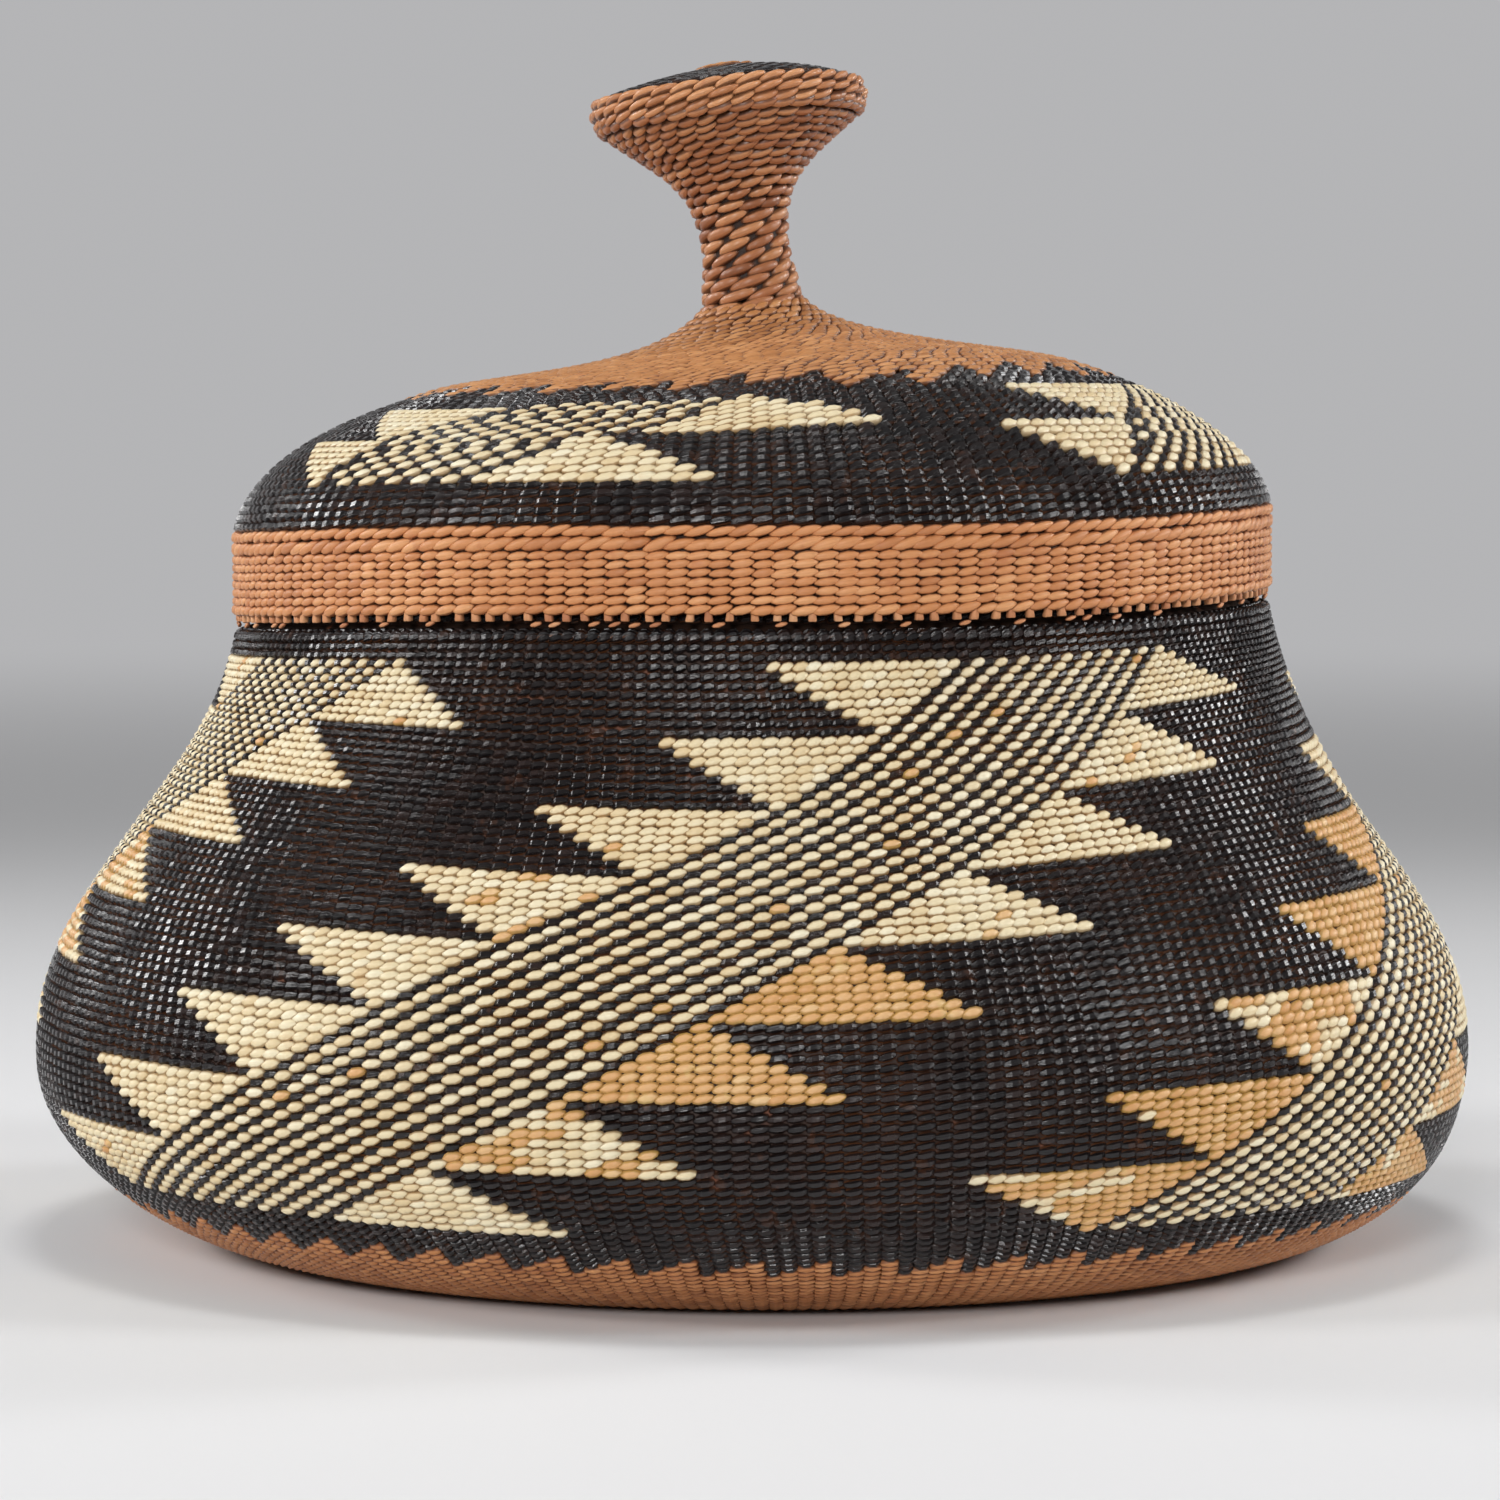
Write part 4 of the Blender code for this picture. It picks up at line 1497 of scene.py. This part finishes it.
@dataclass
class LidBand:
    """The straight band of the lid: two cords, plain courses, the edge course and stick ends."""

    radius: float = 62.0 * MM
    sticks: int = 168
    wall: float = 2.0 * MM
    top: float = 85.5 * MM
    bottom: float = 75.5 * MM
    plain: tuple[float, ...] = (82.2 * MM, 81.25 * MM, 80.27 * MM, 79.3 * MM, 78.33 * MM, 77.35 * MM)

    def build(self) -> None:
        """Build every course of the band and its inside."""
        form = StitchForm(
            length_share=1.27, height_share=1.12, depth=1.0 * MM, slant_share=0.42, taper=0.6,
            around=8, along=6,
        )
        loom = Loom(form)
        for number, height in enumerate(self.plain):
            loom.lay((self.radius, height, 0.0, 1.0), 0.97 * MM, self.sticks, course=number)
        StitchedPiece("band_stitches", "lid", ("lid_band_weave",), BAND_ROOT, form, 51).build(loom.laid)
        upper = replace(
            form, length_share=1.55, height_share=0.86, depth=1.4 * MM, slant_share=0.60, tuck=0.2 * MM,
            along=8,
        )
        lower = replace(upper, length_share=1.75, height_share=0.84, slant_share=0.66, depth=1.5 * MM)
        edge = replace(
            form, length_share=1.36, height_share=1.0, depth=1.3 * MM, slant_share=0.52, tuck=0.2 * MM
        )
        for name, node, shape, height, spacing, seed in (
            ("upper_cord_strands", "lid_cord_upper", upper, 84.85 * MM, 1.3 * MM, 52),
            ("lower_cord_strands", "lid_cord_lower", lower, 83.45 * MM, 1.6 * MM, 53),
            ("edge_stitches", "lid_edge_course", edge, 76.3 * MM, 1.2 * MM, 54),
        ):
            loom = Loom(shape)
            loom.lay((self.radius + 0.1 * MM, height, 0.0, 1.0), spacing, self.sticks)
            StitchedPiece(name, "lid", (node,), BAND_ROOT, shape, seed).build(loom.laid)
        StickEnds(
            "lid_short_tips", "lid", ("lid_stick_ends",), STICK, radius=self.radius - 0.85 * MM,
            low=74.95 * MM, high=76.2 * MM, count=self.sticks, width=0.75 * MM, depth=0.8 * MM,
            flare=0.25, seed=62,
        ).build()
        self.build_long_tips()
        foot = self.bottom + 0.4 * MM
        outer = upright_line(self.radius - 0.8 * MM, [foot, self.top])
        heights = [foot + 0.96 * MM * step for step in range(11)]
        inner = upright_line(self.radius - self.wall + BACK_GAP, heights)
        nodes = ("lid_band_weave", "lid_cord_lower", "lid_cord_upper", "lid_edge_course")
        BackedPiece("band_inside", "lid", nodes, INSIDE_ROOT).build(outer, inner, self.sticks)

    def build_long_tips(self) -> None:
        """Build the few longer stick ends that hang below the rest."""
        form = StitchForm(
            length_share=0.66, height_share=0.55, depth=0.6 * MM, slant_share=0.35, tuck=0.05 * MM
        )
        loom = Loom(form)
        laid = loom.lay((self.radius - 0.45 * MM, 74.65 * MM, 0.0, 1.0), 1.0 * MM, self.sticks, start=-0.004)
        chance = np.random.default_rng(63).random(len(laid))
        chosen = laid.pick((laid.column % 3 == 1) ^ (chance < 0.12))
        StitchedPiece("lid_long_tips", "lid", ("lid_stick_ends",), STICK, form, 64).build(chosen)


@dataclass(frozen=True)
class DomeGroup:
    """One repeat of the lid's pattern: where its band of checks starts and ends in each tier.

    Each pair of angles is for the lowest and highest courses of the tier, in degrees from the front.
    """

    left: tuple[tuple[float, float], ...]
    right: tuple[tuple[float, float], ...]


@dataclass
class DomePattern:
    """Two tiers of the wall's bands and triangles on the lid, under a saw-toothed crown."""

    groups: tuple[DomeGroup, ...] = (
        DomeGroup(left=((-57.0, -52.5), (-52.0, -38.5)), right=((-31.4, -20.3), (-13.5, -2.0))),
        DomeGroup(left=((46.5, 52.5), (54.5, 66.5)), right=((74.0, 87.0), (91.0, 105.0))),
        DomeGroup(left=((175.3, 179.8), (180.3, 193.8)), right=((200.9, 213.9), (218.8, 233.2))),
    )
    widest: int = 13
    rows: int = 7

    def strands(self, angle: np.ndarray, sticks: int, start: float, tier: int, row: int) -> np.ndarray:
        """Choose the strand of each stitch in a course of a tier.

        Args:
            angle: Angles of the stitches.
            sticks: Number of sticks in the course.
            start: Angle of the left edge of the first stitch.
            tier: Number of the tier.
            row: Number of the course in it, from the bottom up.

        Returns:
            One strand for each stitch.
        """
        pitch = 360.0 / sticks
        column = np.round((np.degrees(angle - start)) / pitch - 0.5).astype(int)
        found = np.full(len(angle), int(Strand.FERN))
        share = row / (self.rows - 1)
        for group in self.groups:
            low, high = group.right[tier]
            right = round((low + (high - low) * share - math.degrees(start)) / pitch)
            low, high = group.left[tier]
            tip = round((low - math.degrees(start)) / pitch)
            left = round((low + (high - low) * share - math.degrees(start)) / pitch)
            place = (right - 1 - column) % sticks
            width = right - left
            found[(place < width - 1) & (place % 2 == 1)] = int(Strand.GRASS)
            upright = (column - right) % sticks
            found[upright < self.widest - 2 * row] = int(Strand.GRASS)
            hanging = (left - 1 - column) % sticks
            found[hanging < row + 1 + left - tip] = int(Strand.GRASS)
        return found


@dataclass
class LidDome:
    """The dome of the lid: the patterned shoulder, the plain crown and the inside."""

    pattern: DomePattern = field(default_factory=DomePattern)
    wall: float = 2.0 * MM
    stick_spacing: float = 2.19 * MM
    first: float = 0.7 * MM
    plain_courses: int = 5
    plain_spacing: float = 1.12 * MM
    crown_spacing: float = 1.22 * MM
    crown_start: float = 12 * MM
    tier_starts: tuple[float, ...] = (6.35 * MM, 15.5 * MM)
    tier_spacing: tuple[float, ...] = (1.32 * MM, 1.27 * MM)
    tier_sticks: tuple[int, ...] = (172, 160)
    tier_turns: tuple[float, ...] = (-31.4, -13.5)
    fewest_sticks: int = 14
    shoulder_height: float = 97.2 * MM

    def courses(self) -> list[tuple[float, float, int, int]]:
        """Place, spacing, tier and row of each course from the band up.

        Returns:
            One entry for each course, with tier -1 outside the pattern.
        """
        plain = self.plain_spacing
        places = [(self.first + plain * step, plain, -1, step) for step in range(self.plain_courses)]
        for tier, start in enumerate(self.tier_starts):
            spacing = self.tier_spacing[tier]
            places += [(start + spacing * row, spacing, tier, row) for row in range(self.pattern.rows)]
        length = places[-1][0] + self.crown_spacing
        while length < DOME.total - 0.4 * MM:
            places.append((length, self.crown_spacing, -1, -1))
            length += self.crown_spacing
        return places

    @staticmethod
    def signed_turn(angle: np.ndarray) -> np.ndarray:
        """Degrees from the front, from -180 to 180."""
        return np.degrees(angle + math.pi) % 360.0 - 180.0

    def rise(self, length: float, angle: np.ndarray) -> np.ndarray:
        """How far a course runs above its level round the lid.

        Args:
            length: Where the course is on the outline.
            angle: Angles of its stitches.

        Returns:
            The rise at each stitch.
        """
        place = np.array(length)
        turn = self.signed_turn(angle)
        right = ease(turn, 5.0, 40.0) * (1.0 - ease(turn, 120.0, 170.0))
        lower = ease(place, 6 * MM, 15 * MM) * (1.8 * hill(turn, -24.0, 14.0) - 0.6)
        upper = -0.9 * right * ease(place, 15 * MM, 23 * MM)
        return (lower + upper) * (1.0 - ease(place, 23 * MM, 34 * MM)) * MM

    def crown_edge(self, angle: np.ndarray) -> np.ndarray:
        """Length along the outline at which the black gives way to root.

        Args:
            angle: Angles from the front.

        Returns:
            The length at each angle.
        """
        turn = self.signed_turn(angle)
        edge = 28.0 + 2.6 * hill(turn, -52.0, 34.0) - 2.4 * hill(turn, 17.0, 13.0)
        edge = edge + 0.9 * hill(turn, -10.0, 25.0) - 1.0 * hill(turn, 27.0, 14.0)
        tooth = ((turn + 0.5) / 12.4) % 1.0
        return (edge - 2.2 + 4.6 * tooth) * MM

    def weave(self, form: StitchForm) -> Stitches:
        """Lay all the courses of the outside.

        Args:
            form: Gives the share of its place that each stitch takes.

        Returns:
            The stitches.
        """
        loom = Loom(form)
        sticks = self.tier_sticks[0]
        for length, spacing, tier, row in self.courses():
            fitting = math.tau * float(DOME.at(np.array(length))[0]) / self.stick_spacing
            if tier >= 0:
                sticks = self.tier_sticks[tier]
                start = math.radians(self.tier_turns[tier])
            elif length < self.crown_start:
                start = 0.0
            else:
                start = 2.4 * length / MM
                if fitting < sticks - 9:
                    sticks = max(self.fewest_sticks, int(round(fitting)))
            laid = loom.lay_risen(DOME, self.rise, length, spacing, sticks, start)
            if tier >= 0:
                laid.strand = self.pattern.strands(laid.angle, sticks, start, tier, row)
            else:
                crown = length > self.crown_edge(laid.angle)
                laid.strand = np.where(crown, int(Strand.ROOT), int(Strand.FERN))
        return loom.laid

    def build(self) -> None:
        """Build the shoulder and crown, one piece for each strand, and the inside."""
        form = StitchForm(length_share=1.22, height_share=1.10, depth=1.05 * MM, slant_share=0.42, along=5)
        laid = self.weave(form)
        shoulder = laid.height < self.shoulder_height
        belts = [("shoulder", "lid_shoulder_weave", shoulder), ("crown", "lid_crown_weave", ~shoulder)]
        root = replace(form, length_share=1.42, height_share=1.14, depth=0.85 * MM, slant_share=0.5)
        looks = {
            Strand.FERN: StrandLook(FERN, replace(FOLDED, height_share=1.10, slant_share=0.42), 0.98, 0.97),
            Strand.GRASS: StrandLook(GRASS, form, 1.07, 1.04),
            Strand.ROOT: StrandLook(KNOB_ROOT, root),
        }
        build_belts(laid, "lid", belts, looks, lambda belt, name, strand: 70 + strand + len(belt))
        start, end = 0.2 * MM, DOME.total - 0.5 * MM
        outer = DOME.offset(start, end, 0.85 * MM, 20)
        inner = DOME.offset(start, end, self.wall - BACK_GAP, 36)
        nodes = ("lid_shoulder_weave", "lid_crown_weave")
        BackedPiece("dome_inside", "lid", nodes, INSIDE_ROOT).build(outer, inner, 168)


@dataclass
class Knob:
    """The stem and knob: root wound over gathered sticks, three cords and a dark domed top."""

    stem_top: float = 121.6 * MM
    stem_spacing: float = 1.34 * MM
    stem_strands: int = 9
    flare_spacing: float = 1.24 * MM
    rim_radius: float = 16.7 * MM
    rim_heights: tuple[float, ...] = (133.0 * MM, 134.5 * MM, 136.0 * MM)
    rim_spacing: float = 1.5 * MM
    rim_tuck: float = 0.4 * MM
    rim_sticks: int = 37
    crest_rise: float = 2.2 * MM
    crest_power: float = 2.1
    mound_rise: float = 0.6 * MM
    mound_courses: int = 2
    edge_height: float = 136.75 * MM
    top_radius: float = 14.3 * MM
    bundle_foot: float = 109.4 * MM

    def build(self) -> None:
        """Build the stem, the flare, the rim and the top."""
        self.build_stem()
        self.build_rim()
        self.build_top()
        self.build_core()
        self.build_bundle()

    def build_stem(self) -> None:
        """Build the wound strands of the stem and the flare."""
        form = StitchForm(
            length_share=1.42, height_share=0.97, depth=1.6 * MM, slant_share=0.86, tuck=0.4 * MM, taper=0.42,
            fall=0.34, unevenness=0.9, around=8, along=8,
        )
        loom = Loom(form)
        end = STEM.length_at_height(self.stem_top)
        count = int(end / self.stem_spacing)
        for number in range(-1, count):
            length = (number + 0.5) * end / count
            place = STEM.at(np.array(max(length, 0.0)))
            if number < 0:
                place = (place[0] + 0.3 * MM, place[1] - 0.5 * MM, -0.35, 0.94)
            loom.lay(place, end / count, self.stem_strands, 0.36 * number, number)
        StitchedPiece("stem_strands", "lid", ("knob_stem_weave",), STEM_ROOT, form, 81).build(loom.laid)
        form = replace(form, length_share=1.40, slant_share=0.62, depth=1.4 * MM, height_share=0.98)
        loom = Loom(form)
        rest = STEM.total - end
        count = int(rest / self.flare_spacing)
        for number in range(count):
            place = STEM.at(np.array(end + (number + 0.5) * rest / count))
            sticks = int(round(math.tau * float(place[0]) / (2.9 * MM - 0.5 * MM * number / count)))
            loom.lay(place, rest / count, sticks, 0.21 * number, number)
        turn_under = (self.rim_radius - 0.95 * MM, self.rim_heights[0] - 0.95 * MM, 0.80, 0.60)
        loom.lay(turn_under, self.flare_spacing, self.rim_sticks + 1, course=count)
        StitchedPiece("flare_strands", "lid", ("knob_flare_weave",), STEM_ROOT, form, 82).build(loom.laid)

    def build_rim(self) -> None:
        """Build the three cords round the knob's rim."""
        form = StitchForm(
            length_share=1.60, height_share=0.72, depth=2.0 * MM, slant_share=0.70, tuck=0.45 * MM,
            taper=0.40, fall=0.40, unevenness=0.8, around=8, along=8,
        )
        cords = (("lower", self.rim_tuck, 0.45), ("middle", 0.0, 0.0), ("upper", self.rim_tuck, -0.45))
        for number, (name, tuck, lean) in enumerate(cords):
            loom = Loom(form)
            place = (self.rim_radius - tuck, self.rim_heights[number], lean, math.sqrt(1 - lean * lean))
            loom.lay(place, self.rim_spacing, self.rim_sticks, start=0.05 * number)
            node = "knob_rim_cord_" + name
            piece = StitchedPiece(f"rim_{name}_strands", "lid", (node,), RIM_ROOT, form, 83 + number)
            piece.build(loom.laid)

    def build_top(self) -> None:
        """Build the dark top inside the rim and the small mound where its weave starts."""
        form = StitchForm(
            length_share=1.4, height_share=1.1, depth=0.9 * MM, slant_share=0.5, around=8, along=6
        )
        loom = Loom(form)
        spacing = 1.35 * MM
        count = int(self.top_radius / spacing)
        for number in range(1, count + 1):
            radius = number * self.top_radius / (count + 0.4)
            share = radius / self.top_radius
            height = self.edge_height + self.crest_rise * (1 - share**self.crest_power)
            height += self.mound_rise * float(1.0 - ease(np.array(radius), 2.0 * MM, 4.5 * MM))
            slope = self.crest_power * self.crest_rise * share ** (self.crest_power - 1) / self.top_radius
            size = math.hypot(1.0, slope)
            sticks = max(6, int(round(math.tau * radius / (2.5 * MM))))
            loom.lay((radius, height, -1.0 / size, slope / size), spacing, sticks, 0.4 * number, number)
        laid = loom.laid
        dark = laid.course > self.mound_courses
        for name, finish, seed, where in (
            ("knob_top_stitches", FERN, 91, dark),
            ("knob_top_mound", KNOB_ROOT, 92, ~dark),
        ):
            piece = StitchedPiece(name, "lid", ("knob_top_weave",), finish, form, seed)
            piece.build(laid.pick(where))

    def build_core(self) -> None:
        """Build the core that the strands are wound on, painted near black as the shade seen through the gaps
        between them.
        """
        shaft = STEM.offset(0.0, STEM.total, 0.9 * MM, 24)
        rim = upright_line(15.2 * MM, [133.0 * MM, 136.2 * MM])
        top = []
        for step in range(6, -1, -1):
            share = step / 6
            height = self.edge_height - 0.75 * MM + self.crest_rise * (1 - share * share)
            top.append(Vector((self.top_radius * share, 0.0, height)))
        section = [Vector((0.0, 0.0, shaft[0].z))] + shaft + rim + top
        nodes = ("knob_stem_weave", "knob_flare_weave", "knob_top_weave")
        BackedPiece("knob_core", "lid", nodes, KNOB_CORE_SHADE).build(section, [], 48, closed=False)

    def build_bundle(self) -> None:
        """Build the gathered sticks that run up the stem, whose feet show inside the lid."""
        radius, length = 0.95 * MM, 8.0 * MM
        bundle = bmesh.new()
        bundle.loops.layers.uv.new(BAKE_MAP)
        bmesh.ops.create_cone(
            bundle, cap_ends=True, segments=10, radius1=radius, radius2=radius, depth=length, calc_uvs=True
        )
        ends = [face for face in bundle.faces if len(face.verts) > 4]
        rims = [edge for edge in bundle.edges if any(face in ends for face in edge.link_faces)]
        bevel(bundle, rims, 0.2 * MM, 2)
        bmesh.ops.translate(bundle, verts=bundle.verts, vec=(0.0, 0.0, self.bundle_foot + length / 2))
        first = bmesh.ops.duplicate(bundle, geom=whole(bundle))["geom"]
        ring = [part for part in first if isinstance(part, bmesh.types.BMVert)]
        bmesh.ops.translate(bundle, verts=ring, vec=(0.0, -2.15 * MM, -0.2 * MM))
        copy_round(bundle, first, 6, 6)
        mesh = as_mesh(bundle, "bundle_sticks")
        points = corner_points(mesh)
        keep_numbers(mesh, "tint", np.full(len(points), 0.5))
        keep_numbers(mesh, "edge", np.full(len(points), STICK_EDGE))
        lay_grain(mesh, np.stack([points[:, 2], points[:, 0] + points[:, 1]], axis=-1) / MM)
        Piece("bundle_sticks", "lid", ("stem_stick_bundle",), STICK).finish_off(mesh, points)


@dataclass
class Studio:
    """Pale floor with a rim that curves up, soft lamps and the camera of the photograph."""

    radius: float = 2.4
    rise: float = 0.9
    wall_top: float = 1.6
    floor_drop: float = 0.1 * MM
    near_floor: float = 0.35
    far_floor: float = 1.9
    sensor: float = 36.0
    focal_pixels: float = 5359.0
    photo_pixels: float = 1500.0

    def build(self) -> None:
        """Build the floor, the lamps, the world and the camera."""
        self.build_floor()
        self.build_lamps()
        world = bpy.data.worlds.new("studio_world")
        world.use_nodes = True
        background = world.node_tree.nodes["Background"]
        background.inputs["Color"].default_value = (1.0, 1.0, 1.0, 1.0)
        background.inputs["Strength"].default_value = 0.22
        bpy.context.scene.world = world
        self.build_camera()

    def build_floor(self) -> None:
        """Build the floor."""
        bend = [
            Vector((self.radius + self.rise * math.sin(turn), 0.0, self.rise * (1 - math.cos(turn))))
            for turn in np.linspace(0.0, math.pi / 2, 13)
        ]
        section = [Vector((0.0, 0.0, 0.0))] + bend + [Vector((self.radius + self.rise, 0.0, self.wall_top))]
        shell = turned_shell(section, 96, False)
        bmesh.ops.translate(shell, verts=shell.verts, vec=(0.0, 0.0, -self.floor_drop))
        bmesh.ops.reverse_faces(shell, faces=[face for face in shell.faces if face.normal.z < -0.01])
        mesh = as_mesh(shell, "studio_floor")
        mesh.shade_smooth()
        mesh.materials.append(self.floor_material())
        placed("studio_floor", mesh)

    def floor_material(self) -> bpy.types.Material:
        """Make the pale floor, which turns to plain paper grey far behind the basket.

        Returns:
            The material.
        """
        material = bpy.data.materials.new("pale_floor")
        material.use_nodes = True
        bench = NodeBench(material.node_tree)
        nodes = material.node_tree.nodes
        shader = nodes["Principled BSDF"]
        bench.put(shader.inputs["Base Color"], (0.80, 0.80, 0.81))
        bench.put(shader.inputs["Roughness"], 0.7)
        distance = bench.add("VectorMath", {0: bench.position()}, operation="LENGTH").outputs["Value"]
        far = bench.span(distance, self.near_floor, self.far_floor)
        path = bench.add("LightPath", {}).outputs
        seen = bench.maths("MAXIMUM", path["Is Camera Ray"], path["Is Glossy Ray"])
        seen = bench.maths("MAXIMUM", seen, path["Is Transmission Ray"])
        paper = bench.add("Emission", {"Color": (0.46, 0.46, 0.47)})
        parts = {"Fac": bench.maths("MULTIPLY", far, seen), 1: shader.outputs[0], 2: paper.outputs[0]}
        bench.put(nodes["Material Output"].inputs["Surface"], bench.add("MixShader", parts).outputs[0])
        return material

    def build_lamps(self) -> None:
        """Build the soft lamps: name, place, size, power and the spread of their light in degrees."""
        for name, place, size, power, spread in (
            ("lamp_left", (-1.12, -0.34, 0.58), 0.28, 0.57, 60.0),
            ("lamp_left_back", (-1.06, 0.46, 0.52), 0.28, 0.57, 60.0),
            ("lamp_right", (1.12, -0.26, 0.60), 0.28, 0.56, 60.0),
            ("lamp_right_back", (1.06, 0.46, 0.52), 0.28, 0.56, 60.0),
            ("lamp_front", (-0.26, -1.50, 0.62), 0.34, 11.5, 180.0),
            ("lamp_top", (0.0, -0.06, 1.0), 0.2, 1.9, 180.0),
        ):
            lamp = bpy.data.lights.new(name, "AREA")
            lamp.shape = "SQUARE"
            lamp.size = size
            lamp.energy = power
            lamp.spread = math.radians(spread)
            holder = placed(name, lamp)
            holder.location = place
            aim = Vector((0.0, 0.0, 0.06)) - Vector(place)
            holder.rotation_euler = aim.to_track_quat("-Z", "Y").to_euler()

    def build_camera(self) -> None:
        """Build the camera at the place that the photograph was taken from."""
        data = bpy.data.cameras.new("camera")
        data.sensor_width = data.sensor_height = self.sensor
        data.sensor_fit = "HORIZONTAL"
        data.lens = self.sensor * self.focal_pixels / self.photo_pixels
        camera = placed("camera", data)
        camera.location = (-0.00024, -0.642, 0.09456)
        camera.rotation_euler = (math.radians(90.0 - 3.3), 0.0, 0.0)
        bpy.context.scene.camera = camera


def main() -> None:
    """Build the basket, its lid and the studio."""
    logging.basicConfig(level=logging.INFO, format="%(message)s")
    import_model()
    bpy.context.scene.view_settings.view_transform = "Standard"
    Studio().build()
    BasketBase().build()
    BasketWall().build()
    Collar().build()
    LidBand().build()
    LidDome().build()
    Knob().build()
    bpy.context.view_layer.update()


if __name__ == "__main__":
    main()
